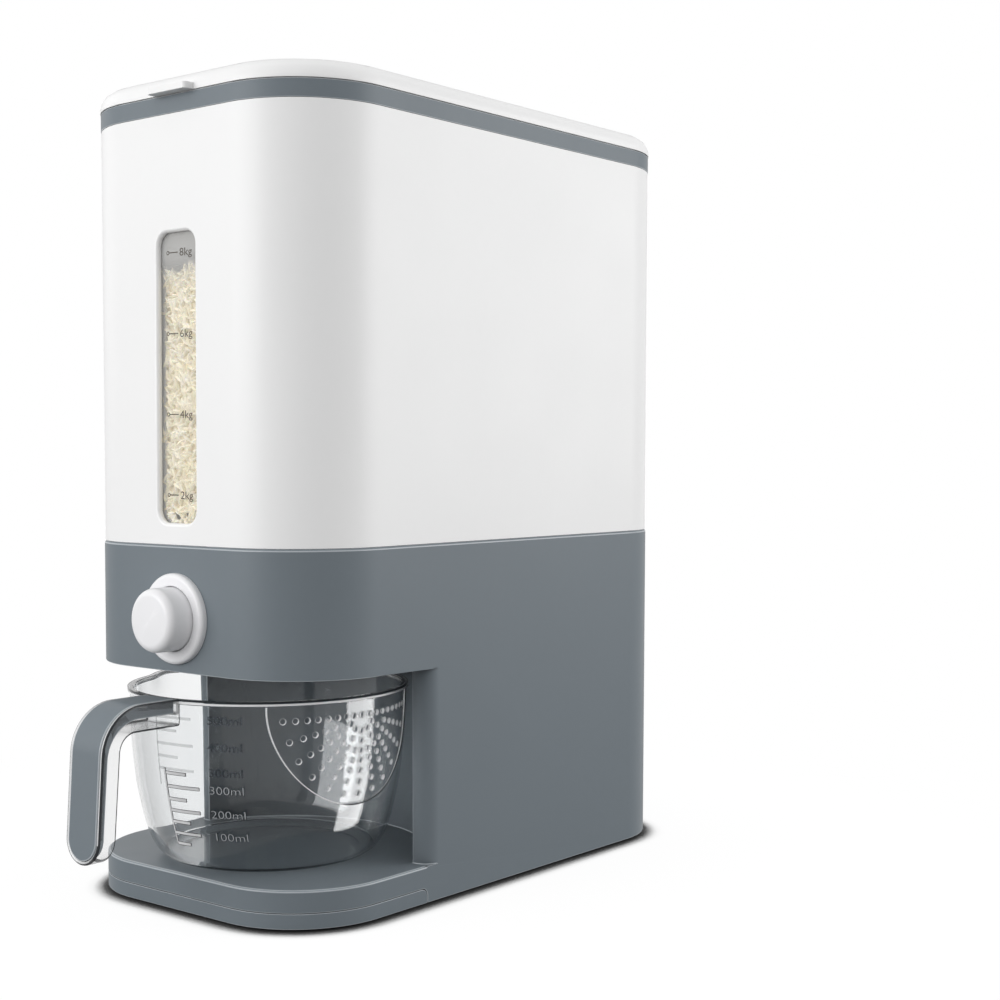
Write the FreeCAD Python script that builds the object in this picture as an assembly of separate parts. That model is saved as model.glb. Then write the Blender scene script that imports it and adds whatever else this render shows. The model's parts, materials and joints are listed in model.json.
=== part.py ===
import FreeCAD
import Part
import math
import os

# Rice dispenser: a white hopper on a grey base, with a press-button gate over a niche for a measuring cup.
# Millimetres, +Z up. The origin is on the table, in the middle of the whole footprint,
# which reaches from the cup's handle in front to the lid's hinge behind.

Vector = FreeCAD.Vector

# Body
body_height = 420.0
body_depth = 321.0
foot_width = 178.0
top_width = 183.8
corner_radius = 51.3
front_y = -136.0
wall = 2.6
fit_gap = 0.3
glue_gap = 0.15
cut_margin = 1.0
edge_search = 0.5
inner_flats = 6

# Base
base_height = 185.2
base_edge_chamfer = 1.0
foot_height = 20.5
foot_edge_chamfer = 0.8
head_height = 63.7
niche_depth = 88.5
column_strip = 6.1
column_edge_radius = 9.0
column_inner_radius = 4.5
column_edge_share = 0.85
feet_proud = 1.5
boss_web = 2.0
boss_front_inset = 10.5
boss_front_side_inset = 30.5

# Bottom cover
cover_thickness = 2.5
skirt_height = 7.5
skirt_end_radius = 4.0
skirt_line = 0.3

# Hopper
hopper_step = 0.5
spigot_length = 10.0
spigot_wall = 2.4
flange_thickness = 3.0

# Window
window_width = 28.0
window_height = 145.5
window_rise = 10.9
window_corner_radius = 7.0
window_setback = 3.0
window_bevel = 1.15
pane_overlap = 2.4
pane_thickness = 2.0
retainer_thickness = 1.6
boss_rim = 2.4

# Hopper floor
throat_width = 60.0
throat_length = 14.0
throat_setback = 56.0
throat_rise = 31.9
floor_drop = 3.2
side_slope = 40.0
back_slope = 20.0
throat_wall = 2.2

# Gate
gate_floor = 2.2
gate_plate = 2.8
gate_rail = 5.0
gate_lid = 2.0
gate_side_margin = 4.0
gate_screw_margin = 4.5
slide_overlap = 4.0
gate_front_setback = 34.0
gate_back_setback = 91.0
chute_drop = 3.5

# Button
button_drop = 36.7
button_travel = 12.0
button_radius = 16.0
button_proud = 17.5
button_bevel = 2.6
button_skirt = 8.0
button_wall = 2.0
button_sides = 64
socket_wall = 1.5
bezel_radius = 22.8
bezel_face_radius = 20.5
bezel_proud = 3.7
bezel_bevel = 1.6
sleeve_wall = 2.2
sleeve_end_setback = 32.7
stem_width = 7.0
running_gap = 0.06
tab_thickness = 3.0
tab_width = 18.0
tab_rise = 6.0
spring_radius = 8.5
spring_wire = 1.2
spring_turns = 6
spring_sides = 10
wire_sides = 5

# Lid and collar
lid_height = 10.5
lid_edge_radius = 8.5
lid_edge_flats = 4
lid_wall = 2.2
band_height = 9.1
band_step = 0.3
band_wall = 4.0
collar_spigot = 8.0
lid_gap = 0.4
plug_depth = 5.0
plug_wall = 2.0
plug_gap = 1.8
seal_inset = 1.4
seal_width = 2.2
seal_groove = 1.4
tab_lip_width = 29.0
tab_lip_reach = 5.5
tab_lip_height = 3.3
tab_lip_corner = 2.5

# Hinge
hinge_radius = 4.4
hinge_standoff = 5.4
hinge_drop = 4.5
knuckle_length = 70.0
ear_length = 8.0
pin_radius = 1.75
pin_press_gap = 0.02
pin_running_gap = 0.05
hinge_gap = 0.4

# Cup
cup_setback = 63.0
cup_side_gap = 10.5
cup_headroom = 11.5
cup_lift = 0.3
cup_wall = 2.2
lip_proud = 0.9
lip_height = 2.6
spout_radius = 11.0
spout_inset = 2.5
spout_depth = 30.0
spout_lean = 5.0
spout_tip_radius = 3.0
spout_sides = 20
bowl_sides = 60
bowl_side_shares = ((0.66, 0.0), (0.80, 0.045), (0.893, 0.20), (0.958, 0.46), (0.992, 0.80), (1.0, 1.0))
strainer_half_width = 46.0
strainer_depth = 53.0
strainer_recess = 0.7
strainer_steps = 20

# Cup handle
handle_width = 22.8
handle_reach = 59.0
handle_lean = 4.5
handle_thickness = 10.4
arm_thickness = 13.6
handle_end_rise = 15.7
handle_top_rise = 0.4
handle_root = 3.0
handle_bend = 24.0
handle_inner_bend = 9.0
grip_layer = 5.0
grip_arm_layer = 7.5
grip_border = 1.0
outline_slack = 0.01

# Fasteners and feet
screw_radius = 1.5
screw_head_radius = 3.0
screw_head_height = 2.0
screw_length = 11.5
screw_sides = 8
gate_screw_radius = 1.05
gate_screw_head_radius = 2.1
gate_screw_head_height = 1.4
gate_screw_length = 6.5
boss_radius = 4.5
foot_pad_radius = 9.0
foot_sides = 16
foot_front_inset = 38.0
foot_inset = 34.0

back_y = front_y + body_depth
base_bottom_z = feet_proud
niche_height = base_height - head_height - foot_height
niche_top_z = foot_height + niche_height
head_floor_z = niche_top_z + wall
throat_top_z = head_floor_z + throat_rise
button_z = base_height - button_drop
window_sill_z = base_height + window_rise
lid_z = body_height - lid_height
band_z = lid_z - band_height
cup_y = front_y + cup_setback
cup_base_z = foot_height + cup_lift
cup_rim_z = niche_top_z - cup_headroom
cup_height = cup_rim_z - cup_base_z


def at_level(z):
    """Map plan coordinates to points at one level."""
    return lambda u, v: Vector(u, v, z)


def on_front(y):
    """Map front-view coordinates to points at one depth."""
    return lambda u, v: Vector(u, y, v)


def on_side(x):
    """Map side-view coordinates to points at one distance from the middle."""
    return lambda u, v: Vector(x, u, v)


def rounded_wire(corners, to_space):
    """Closed wire through (u, v, radius) corners, straight between them and rounded at each."""
    pieces = []
    points = [Vector(u, v, 0) for u, v, _ in corners]
    for index, (_, _, radius) in enumerate(corners):
        corner = points[index]
        before = (points[index - 1] - corner).normalize()
        after = (points[(index + 1) % len(points)] - corner).normalize()
        half_angle = before.getAngle(after) / 2
        reach = radius / math.tan(half_angle)
        middle = (before + after).normalize() * (radius / math.sin(half_angle) - radius)
        pieces.append((corner + before * reach, corner + middle, corner + after * reach, radius))
    edges = []
    for index, (start, middle, end, radius) in enumerate(pieces):
        following = pieces[(index + 1) % len(pieces)][0]
        if radius > 0:
            bend = [to_space(point.x, point.y) for point in (start, middle, end)]
            edges.append(Part.Arc(*bend).toShape())
        if (following - end).Length > 1e-6:
            edges.append(Part.makeLine(to_space(end.x, end.y), to_space(following.x, following.y)))
    return Part.Wire(edges)


def rectangle(half_width, low, high, radius):
    """Corners of a rounded rectangle about the middle plane."""
    return [(-half_width, low, radius), (half_width, low, radius),
            (half_width, high, radius), (-half_width, high, radius)]


def extruded(corners, to_space, along):
    """Straight extrusion of a rounded outline."""
    return Part.Face(rounded_wire(corners, to_space)).extrude(along)


def block(low, high):
    """Box between two corners."""
    return Part.makeBox(high[0] - low[0], high[1] - low[1], high[2] - low[2], Vector(*low))


def lengthwise(radius, x, z, low_y, high_y):
    """Cylinder that runs from front to back."""
    return Part.makeCylinder(radius, high_y - low_y, Vector(x, low_y, z), Vector(0, 1, 0))


def ring(radius, x, y, z, sides):
    """Corners of a level regular polygon."""
    turn = 2 * math.pi / sides
    return [Vector(x + radius * math.cos(turn * count), y + radius * math.sin(turn * count), z)
            for count in range(sides)]


def flat(points):
    """Flat face between points."""
    return Part.Face(Part.makePolygon(points + points[:1]))


def solid_through(rings):
    """Solid of flat faces through rings with equal numbers of points, closed at both ends."""
    faces = [flat(rings[0]), flat(rings[-1])]
    for before, after in zip(rings, rings[1:]):
        for index in range(len(before)):
            faces.append(flat([before[index - 1], before[index], after[index], after[index - 1]]))
    return Part.Solid(Part.Shell(faces))


def prism(radius, x, y, low_z, high_z, sides):
    """Upright prism, for round things too small or too many to be turned."""
    return flat(ring(radius, x, y, low_z, sides)).extrude(Vector(0, 0, high_z - low_z))


def square_bar(width, x, z, low_y, high_y):
    """Square bar that runs from front to back."""
    return block((x - width / 2, low_y, z - width / 2), (x + width / 2, high_y, z + width / 2))


def body_half_width(z):
    """Half width of the body, which widens evenly from the foot to the top."""
    return (foot_width + (top_width - foot_width) * z / body_height) / 2


def body_outline(z, inset):
    """Outline of the body at one level, moved inwards by the inset."""
    corners = rectangle(body_half_width(z) - inset, front_y + inset, back_y - inset, corner_radius - inset)
    return rounded_wire(corners, at_level(z))


def inner_outline(z, inset):
    """Outline of an inner wall at one level, where each corner is turned in a few flats."""
    radius = corner_radius - inset
    side = body_half_width(z) - corner_radius
    front = front_y + corner_radius
    back = back_y - corner_radius
    points = []
    for quarter, (x, y) in enumerate([(side, back), (-side, back), (-side, front), (side, front)]):
        for count in range(inner_flats + 1):
            angle = math.pi / 2 * (quarter + count / inner_flats)
            points.append(Vector(x + radius * math.cos(angle), y + radius * math.sin(angle), z))
    return Part.makePolygon(points + points[:1])


def tower_through(stations, outline=body_outline):
    """Solid through the body's outline at several (level, inset) stations."""
    return Part.makeLoft([outline(z, inset) for z, inset in stations], True, True)


def tower(low_z, high_z, inset, outline=body_outline):
    """Stretch of the widening body between two levels."""
    return tower_through([(low_z, inset), (high_z, inset)], outline)


def tower_ring(low_z, high_z, outer_inset, inner_inset, outline=body_outline):
    """Tube between two levels, with the given outline outside and an inner wall's outline inside."""
    bore = tower(low_z - cut_margin, high_z + cut_margin, inner_inset, inner_outline)
    return tower(low_z, high_z, outer_inset, outline).cut(bore)


def inner_ring(low_z, high_z, outer_inset, inner_inset):
    """Tube between two levels that fits inside a wall."""
    return tower_ring(low_z, high_z, outer_inset, inner_inset, inner_outline)


def niche_half_width():
    """Half width of the body beside the niche, where it is narrowest."""
    return min(body_half_width(foot_height), body_half_width(niche_top_z))


def recess_radius():
    """Radius of the round recess behind the cup."""
    return niche_half_width() - column_strip


def cup_radius():
    """Outer radius of the bowl at its rim."""
    return recess_radius() - cup_side_gap


def lip_radius():
    """Outer radius of the bowl's lip."""
    return cup_radius() + lip_proud


def niche_space(growth):
    """Space of the niche, open in front and at both sides, grown by one wall for the inner form."""
    floor_z = foot_height - growth
    height = niche_height + 2 * growth
    reach = body_half_width(niche_top_z) + column_edge_radius
    front_part = block((-reach, front_y - reach, floor_z),
                       (reach, front_y + niche_depth + growth, floor_z + height))
    recess = Part.makeCylinder(recess_radius() + growth, height, Vector(0, cup_y, floor_z))
    return front_part.fuse(recess)


def column_edges(shape, inset):
    """Upright outer edges at the front of the column."""
    found = []
    for edge in shape.Edges:
        centre = edge.CenterOfMass
        beside = abs(abs(centre.x) - body_half_width(centre.z) + inset) < edge_search
        at_front = abs(centre.y - front_y - niche_depth - inset) < edge_search
        if beside and at_front and edge.Length > niche_height / 2:
            found.append(edge)
    return found


def column_front_width(inset):
    """Width of the column's flat front beside the round recess, for its outside or one wall further in."""
    beyond = niche_depth - cup_setback + inset
    return niche_half_width() - inset - math.sqrt((recess_radius() + inset) ** 2 - beyond ** 2)


def base_form(inset, low_z, high_z, edge_radius, outline):
    """Form of the base between two levels, for its outside or one wall further in."""
    form = tower(low_z, high_z, inset, outline).cut(niche_space(inset))
    radius = min(edge_radius, column_edge_share * column_front_width(inset))
    return form.makeFillet(radius, column_edges(form, inset))


def edge_bevel(top_z, size, back):
    """Sliver outside a bevel round the body at one level, from the front to a depth."""
    sliver = tower(top_z - size, top_z + cut_margin, -cut_margin)
    sliver = sliver.cut(tower_through([(top_z - size, 0), (top_z, size), (top_z + 2 * cut_margin, size)]))
    reach = body_half_width(body_height)
    return sliver.common(block((-reach, front_y - reach, 0), (reach, back, body_height)))


def skirt_side(gap):
    """Stretch of the body that the front skirt takes, grown by a gap, rounded at its rear end."""
    reach = body_half_width(0) + cut_margin
    top = base_bottom_z + skirt_height + gap
    back = front_y + niche_depth + gap
    corners = [(front_y - cut_margin, -2 * top, 0), (back, -2 * top, 0),
               (back, top, skirt_end_radius), (front_y - cut_margin, top, 0)]
    return extruded(corners, on_side(-reach), Vector(2 * reach, 0, 0))


def cover_screw_places():
    """Places of the four screws that hold the bottom cover."""
    front_x = body_half_width(0) - wall - boss_front_side_inset
    back_x = body_half_width(0) - wall - boss_radius
    front = front_y + wall + boss_front_inset
    back = back_y - corner_radius - boss_web
    return [(-front_x, front), (front_x, front), (-back_x, back), (back_x, back)]


def cover_boss(x, y):
    """Screw boss in the base, hung from the foot's top in front and webbed to the side wall behind."""
    low_z = base_bottom_z + cover_thickness + fit_gap
    behind = y > front_y + niche_depth
    high_z = foot_height + boss_radius if behind else foot_height - wall / 2
    boss = prism(boss_radius, x, y, low_z, high_z, screw_sides)
    if behind:
        wall_x = math.copysign(body_half_width(0) - wall / 2, x)
        web = block((min(x, wall_x), y - boss_web / 2, low_z), (max(x, wall_x), y + boss_web / 2, high_z))
        boss = boss.fuse(web)
    return boss.cut(prism(screw_radius + running_gap, x, y, 0, high_z - wall, screw_sides))


def make_base_housing():
    """Grey lower moulding: head, column and foot around the niche."""
    outer = base_form(0, base_bottom_z, base_height, column_edge_radius, body_outline)
    outer = outer.cut(edge_bevel(base_height, base_edge_chamfer, back_y + corner_radius))
    outer = outer.cut(edge_bevel(foot_height, foot_edge_chamfer, front_y + niche_depth))
    inner = base_form(wall, base_bottom_z - cut_margin, base_height + cut_margin, column_inner_radius,
                      inner_outline)
    shell = outer.cut(inner).cut(skirt_side(skirt_line))
    shell = shell.fuse([cover_boss(x, y) for x, y in cover_screw_places()])
    sleeve_hole = lengthwise(sleeve_outer_radius() + fit_gap, 0, button_z,
                             front_y - cut_margin, front_y + 2 * wall)
    chute_hole = block((-chute_half_width() - fit_gap, chute_front_y() - fit_gap, niche_top_z - cut_margin),
                       (chute_half_width() + fit_gap, chute_back_y() + fit_gap, head_floor_z + cut_margin))
    return shell.cut(sleeve_hole.fuse(chute_hole)).removeSplitter()


def sleeve_outer_radius():
    """Outer radius of the sleeve that guides the button."""
    return button_radius + fit_gap + sleeve_wall


def chute_half_width():
    """Half the outer width of the chute under the gate."""
    return throat_width / 2 + throat_wall


def chute_front_y():
    """Front of the chute's outside."""
    return front_y + throat_setback - throat_wall


def chute_back_y():
    """Back of the chute's outside."""
    return front_y + throat_setback + throat_length + throat_wall


def make_bottom_cover():
    """Plate that closes the base, with the skirt that rises over the foot's front."""
    low_z = base_bottom_z
    plate = tower(low_z, low_z + cover_thickness, wall + fit_gap, inner_outline)
    skirt = tower_ring(low_z, low_z + skirt_height, 0, wall)
    rim = tower(low_z, low_z + cover_thickness, 0)
    front = skirt.fuse(rim).common(skirt_side(0))
    cover = plate.fuse(front)
    seat_z = low_z + screw_head_height / 2
    for x, y in cover_screw_places():
        cover = cover.cut(prism(screw_radius + fit_gap, x, y, 0, low_z + skirt_height, screw_sides))
        cover = cover.cut(prism(screw_head_radius + fit_gap, x, y, 0, seat_z, screw_sides))
    return cover.removeSplitter()


def foot_places():
    """Places of the four rubber feet."""
    side = body_half_width(0) - foot_inset
    front = front_y + foot_front_inset
    back = back_y - foot_inset
    return [(-side, front), (side, front), (-side, back), (side, back)]


def make_bottom_screws():
    """Four pan-head screws of the bottom cover, their heads sunk in it."""
    screws = []
    seat_z = base_bottom_z + screw_head_height / 2
    for x, y in cover_screw_places():
        head = prism(screw_head_radius, x, y, base_bottom_z - screw_head_height / 3, seat_z, screw_sides)
        shank = prism(screw_radius, x, y, seat_z, seat_z + screw_length, screw_sides)
        screws.append(head.fuse(shank).removeSplitter())
    return Part.makeCompound(screws)


def make_rubber_feet():
    """Four round feet, stuck under the cover."""
    feet = [prism(foot_pad_radius, x, y, 0, base_bottom_z, foot_sides) for x, y in foot_places()]
    return Part.makeCompound(feet)


def window_outline(growth):
    """Corners of the window, or of the square-cornered pieces that frame it when grown."""
    half = window_width / 2 + growth
    radius = 0 if growth > 0 else window_corner_radius
    return rectangle(half, window_sill_z - growth, window_sill_z + window_height + growth, radius)


def window_bevel_space():
    """Space of the bevel round the window's front edge."""
    front = front_y + hopper_step
    half = window_width / 2 + window_bevel
    high_z = window_sill_z + window_height + window_bevel
    wide = rectangle(half, window_sill_z - window_bevel, high_z, window_corner_radius + window_bevel)
    wires = [rounded_wire(wide, on_front(front)), rounded_wire(window_outline(0), on_front(front + window_bevel))]
    return Part.makeLoft(wires, True, True)


def make_hopper_body():
    """White tube of the hopper with its spigot, flange and window frame."""
    inner_inset = hopper_step + wall
    tube = tower_ring(base_height, band_z, hopper_step, inner_inset)
    flange = inner_ring(base_height, base_height + flange_thickness, inner_inset - wall / 2,
                        wall + glue_gap + spigot_wall)
    spigot = inner_ring(base_height - spigot_length, base_height + flange_thickness / 2, wall + glue_gap,
                        wall + glue_gap + spigot_wall)
    pane_front = front_y + window_setback + hopper_step
    frame_back = pane_front + pane_thickness + retainer_thickness
    frame = extruded(window_outline(pane_overlap + boss_rim), on_front(front_y + hopper_step + wall / 2),
                     Vector(0, frame_back - front_y - hopper_step - wall / 2, 0))
    body = tube.fuse([flange, spigot, frame])
    slot = extruded(window_outline(0), on_front(front_y - cut_margin), Vector(0, 4 * window_setback, 0))
    rebate = extruded(window_outline(pane_overlap), on_front(pane_front), Vector(0, 4 * window_setback, 0))
    return body.cut(slot.fuse(rebate)).cut(window_bevel_space()).removeSplitter()


def window_plate(front, thickness):
    """Plate that fits the frame's rebate."""
    return extruded(window_outline(pane_overlap - glue_gap), on_front(front), Vector(0, thickness, 0))


def make_window_pane():
    """Clear pane in the frame's rebate."""
    return window_plate(front_y + window_setback + hopper_step, pane_thickness)


def make_window_retainer():
    """Thin frame that holds the pane from inside."""
    front = front_y + window_setback + hopper_step + pane_thickness
    opening = extruded(window_outline(0), on_front(front - cut_margin), Vector(0, 4 * retainer_thickness, 0))
    return window_plate(front, retainer_thickness).cut(opening)


def floor_space(drop):
    """Space over the four sloping faces of the hopper floor, lowered by a drop."""
    throat_front = front_y + throat_setback
    throat_back = throat_front + throat_length
    low_z = throat_top_z - drop
    rise = body_height - throat_top_z
    front_rise = front_rest_z() - throat_top_z
    front_run = throat_setback - hopper_step - wall
    run_front = rise * front_run / front_rise
    run_side = rise / math.tan(math.radians(side_slope))
    run_back = rise / math.tan(math.radians(back_slope))
    half = throat_width / 2
    space = Part.makeWedge(-half, low_z, -throat_back, -throat_back - run_back, -half - run_side,
                           half, low_z + rise, -throat_front, -throat_front + run_front, half + run_side)
    space.rotate(Vector(0, 0, 0), Vector(1, 0, 0), 90)
    return space


def front_rest_z():
    """Level at which the floor's front slope meets the hopper's front wall."""
    return base_height + flange_thickness + floor_drop


def make_hopper_floor():
    """Funnel with four slopes and a throat, inside the hopper."""
    inset = hopper_step + wall + glue_gap
    low_z = throat_top_z - floor_drop
    over_flange = tower(base_height + flange_thickness, band_z, inset, inner_outline)
    under_flange = tower(low_z - cut_margin, base_height + flange_thickness,
                         wall + glue_gap + spigot_wall + glue_gap, inner_outline)
    sheet = over_flange.fuse(under_flange).common(floor_space(floor_drop)).cut(floor_space(0))
    throat_front = front_y + throat_setback
    outer = block((-throat_width / 2 - throat_wall, throat_front - throat_wall, gate_top_z()),
                  (throat_width / 2 + throat_wall, throat_front + throat_length + throat_wall, throat_top_z))
    outer = outer.cut(floor_space(0))
    bore = block((-throat_width / 2, throat_front, gate_top_z() - cut_margin),
                 (throat_width / 2, throat_front + throat_length, throat_top_z + cut_margin))
    frame_depth = window_setback + hopper_step + pane_thickness + retainer_thickness + glue_gap
    frame_room = extruded(window_outline(pane_overlap + boss_rim + glue_gap), on_front(front_y),
                          Vector(0, frame_depth, 0))
    return sheet.fuse(outer).cut(bore).cut(frame_room).removeSplitter()


def slide_low_z():
    """Underside of the gate's sliding plate."""
    return head_floor_z + gate_floor + fit_gap


def gate_top_z():
    """Top of the gate's cover, on which the throat stands."""
    return slide_low_z() + gate_plate + fit_gap + gate_lid


def gate_half_width():
    """Half width of the gate's tray."""
    return throat_width / 2 + throat_wall + gate_rail + gate_side_margin


def gate_screw_places():
    """Places of the four screws of the gate."""
    x = gate_half_width() - gate_rail / 2
    front = gate_cover_front_y() + gate_screw_margin
    back = front_y + gate_back_setback - gate_screw_margin
    return [(-x, front), (x, front), (-x, back), (x, back)]


def gate_cover_front_y():
    """Front edge of the gate's cover, clear of the slide's tab when the button is pressed."""
    return front_y + tab_back_setback() + button_travel + fit_gap


def tab_back_setback():
    """Distance from the body's front to the back of the slide's tab, at rest."""
    return sleeve_end_setback + fit_gap + tab_thickness


def make_gate_housing():
    """Tray that guides the gate, with the chute that drops through the head's floor."""
    half = gate_half_width()
    front = front_y + gate_front_setback
    back = front_y + gate_back_setback
    cover_low = gate_top_z() - gate_lid
    tray = block((-half, front, head_floor_z), (half, back, cover_low))
    run = block((-half + gate_rail, front - cut_margin, head_floor_z + gate_floor),
                (half - gate_rail, back - gate_rail / 2, cover_low + cut_margin))
    chute = block((-chute_half_width(), chute_front_y(), niche_top_z - chute_drop),
                  (chute_half_width(), chute_back_y(), head_floor_z))
    bore = block((-throat_width / 2, front_y + throat_setback, niche_top_z - chute_drop - cut_margin),
                 (throat_width / 2, front_y + throat_setback + throat_length, cover_low + cut_margin))
    housing = tray.cut(run).fuse(chute).cut(bore)
    hole_low = gate_screw_low_z() - gate_floor / 2
    for x, y in gate_screw_places():
        hole = prism(gate_screw_radius + running_gap, x, y, hole_low, cover_low + cut_margin, screw_sides)
        housing = housing.cut(hole)
    return housing.removeSplitter()


def make_gate_cover():
    """Plate over the gate's run, with the opening under the throat."""
    half = gate_half_width()
    low_z = gate_top_z() - gate_lid
    plate = block((-half, gate_cover_front_y(), low_z), (half, front_y + gate_back_setback, gate_top_z()))
    bore = block((-throat_width / 2, front_y + throat_setback, low_z - cut_margin),
                 (throat_width / 2, front_y + throat_setback + throat_length, gate_top_z() + cut_margin))
    plate = plate.cut(bore)
    for x, y in gate_screw_places():
        plate = plate.cut(prism(gate_screw_radius + 2 * running_gap, x, y, low_z - cut_margin,
                                gate_top_z() + cut_margin, screw_sides))
    return plate


def gate_screw_low_z():
    """Level of the gate screws' tips."""
    return gate_top_z() - gate_screw_length


def make_gate_screws():
    """Four small screws through the gate's cover."""
    screws = []
    head_top = gate_top_z() + gate_screw_head_height
    for x, y in gate_screw_places():
        head = prism(gate_screw_head_radius, x, y, gate_top_z(), head_top, screw_sides)
        shank = prism(gate_screw_radius, x, y, gate_screw_low_z(), gate_top_z(), screw_sides)
        screws.append(head.fuse(shank).removeSplitter())
    return Part.makeCompound(screws)


def make_gate_slide():
    """Sliding plate whose port reaches the throat when the button is pressed, with its upright tab."""
    half = gate_half_width() - gate_rail - fit_gap
    tab_front = front_y + sleeve_end_setback + fit_gap
    low_z = slide_low_z()
    plate_back = front_y + throat_setback + throat_length + slide_overlap
    plate = block((-half, tab_front, low_z), (half, plate_back, low_z + gate_plate))
    port_front = front_y + throat_setback - button_travel
    port = block((-throat_width / 2, port_front, low_z - cut_margin),
                 (throat_width / 2, port_front + button_travel - fit_gap, low_z + gate_plate + cut_margin))
    tab_back = tab_front + tab_thickness
    tab = block((-tab_width / 2, tab_front, low_z), (tab_width / 2, tab_back, button_z + tab_rise))
    screw_hole = stem_screw_bar(screw_radius + 2 * running_gap, tab_front - cut_margin, tab_back + cut_margin)
    return plate.cut(port).fuse(tab).cut(screw_hole).removeSplitter()


def round_the_button(along, angle, radius):
    """Point beside the button's axis."""
    return Vector(radius * math.cos(angle), along, button_z + radius * math.sin(angle))


def turned(profile):
    """Solid of many flats turned about the button's axis, from (radius, depth) points between flat ends."""
    turn = 2 * math.pi / button_sides
    rings = [[round_the_button(along, turn * count, radius) for count in range(button_sides)]
             for radius, along in profile]
    return solid_through(rings)


def make_button_bezel():
    """White ring round the button, one piece with the sleeve and the square guide of the stem."""
    face = front_y - bezel_proud
    end = front_y + sleeve_end_setback
    bore = button_radius + fit_gap
    profile = [(bore, end - sleeve_wall), (bore, face), (bezel_face_radius, face),
               (bezel_radius, face + bezel_bevel), (bezel_radius, front_y),
               (sleeve_outer_radius(), front_y), (sleeve_outer_radius(), end)]
    guide = square_bar(stem_width + 2 * running_gap, 0, button_z, end - 2 * sleeve_wall, end + cut_margin)
    return turned(profile).cut(guide).removeSplitter()


def make_button_cap():
    """Round push button with a skirt that runs in the sleeve and a square socket for the stem."""
    face = front_y - button_proud
    roof = face + 2 * button_wall
    skirt_end = front_y + button_skirt
    hollow = button_radius - button_wall
    profile = [(button_radius - button_bevel, face), (button_radius, face + button_bevel),
               (button_radius, skirt_end), (hollow, skirt_end), (hollow, roof)]
    cap = turned(profile)
    socket_width = stem_width + 2 * socket_wall
    socket = square_bar(socket_width, 0, button_z, roof - button_wall / 2, front_y - button_wall)
    stem_room = square_bar(stem_width, 0, button_z, roof, front_y)
    return cap.fuse(socket).cut(stem_room).removeSplitter()


def stem_front_y():
    """Front end of the stem, inside the cap's socket."""
    return front_y - button_proud + 2 * button_wall


def make_button_stem():
    """Square stem from the cap to the gate's tab."""
    end = front_y + sleeve_end_setback + fit_gap
    stem = square_bar(stem_width, 0, button_z, stem_front_y(), end)
    return stem.cut(stem_screw_bar(screw_radius + running_gap, end - screw_length, end + cut_margin))


def stem_screw_bar(radius, low_y, high_y):
    """Prism along the button's axis, for the stem's screw and its holes."""
    bar = prism(radius, 0, 0, low_y, high_y, screw_sides)
    bar.rotate(Vector(0, 0, 0), Vector(1, 0, 0), -90)
    bar.translate(Vector(0, 0, button_z))
    return bar


def make_stem_screw():
    """Screw that ties the gate's tab to the stem."""
    tab_back = front_y + tab_back_setback()
    head = stem_screw_bar(screw_head_radius, tab_back, tab_back + screw_head_height)
    shank = stem_screw_bar(screw_radius, tab_back - screw_length, tab_back)
    return head.fuse(shank).removeSplitter()


def mitred_sections(path):
    """Sections of a wire along a path of straight runs, each cut at the mitre between two runs."""
    runs = [(after - before).normalize() for before, after in zip(path, path[1:])]
    side = runs[0].cross(Vector(0, 1, 0)).normalize()
    over = runs[0].cross(side)
    turn = 2 * math.pi / wire_sides
    radius = spring_wire / 2
    section = [path[0] + side * (radius * math.cos(turn * count)) + over * (radius * math.sin(turn * count))
               for count in range(wire_sides)]
    sections = [section]
    for index, run in enumerate(runs):
        following = runs[min(index + 1, len(runs) - 1)]
        mitre = (run + following).normalize()
        joint = path[index + 1]
        section = [point + run * ((joint - point).dot(mitre) / run.dot(mitre)) for point in section]
        sections.append(section)
    return sections


def make_return_spring():
    """Coil spring round the stem, between the sleeve's end and the cap."""
    start = stem_front_y() + spring_wire / 2 + glue_gap
    end = front_y + sleeve_end_setback - sleeve_wall - spring_wire / 2 - glue_gap
    steps = spring_turns * spring_sides
    turn = 2 * math.pi / spring_sides
    pitch = (end - start) / steps
    path = [round_the_button(start + pitch * step, turn * step, spring_radius) for step in range(steps + 1)]
    return solid_through(mitred_sections(path))


def collar_inner_inset():
    """Inset of the collar's inner wall."""
    return band_step + band_wall


def hinge_axis_y():
    """Hinge axis, behind the body's back."""
    return back_y + hinge_standoff


def hinge_axis_z():
    """Level of the hinge axis."""
    return lid_z - hinge_drop


def across(radius, y, z, low_x, high_x):
    """Cylinder that runs from side to side."""
    return Part.makeCylinder(radius, high_x - low_x, Vector(low_x, y, z), Vector(1, 0, 0))


def ear_spans():
    """Stretches of the two hinge ears, as pairs of x."""
    inner = knuckle_length / 2 + hinge_gap
    return [(-inner - ear_length, -inner), (inner, inner + ear_length)]


def make_rim_collar():
    """Grey band under the lid, with its spigot in the hopper and the hinge ears behind."""
    band = tower_ring(band_z, lid_z, band_step, collar_inner_inset())
    spigot_outer = hopper_step + wall + glue_gap
    spigot = inner_ring(band_z - collar_spigot, band_z + band_height / 2, spigot_outer, spigot_outer + wall)
    collar = band.fuse(spigot)
    for low_x, high_x in ear_spans():
        barrel = across(hinge_radius, hinge_axis_y(), hinge_axis_z(), low_x, high_x)
        web = block((low_x, back_y - band_step - band_wall / 2, hinge_axis_z() - hinge_radius),
                    (high_x, hinge_axis_y(), hinge_axis_z() + hinge_radius))
        collar = collar.fuse(barrel.fuse(web))
    return collar.cut(pin_bar(pin_press_gap, cut_margin)).removeSplitter()


def pin_bar(growth, overrun):
    """Hinge pin, or its bore grown and run past both ends."""
    reach = knuckle_length / 2 + hinge_gap + ear_length + overrun
    return across(pin_radius + growth, hinge_axis_y(), hinge_axis_z(), -reach, reach)


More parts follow.
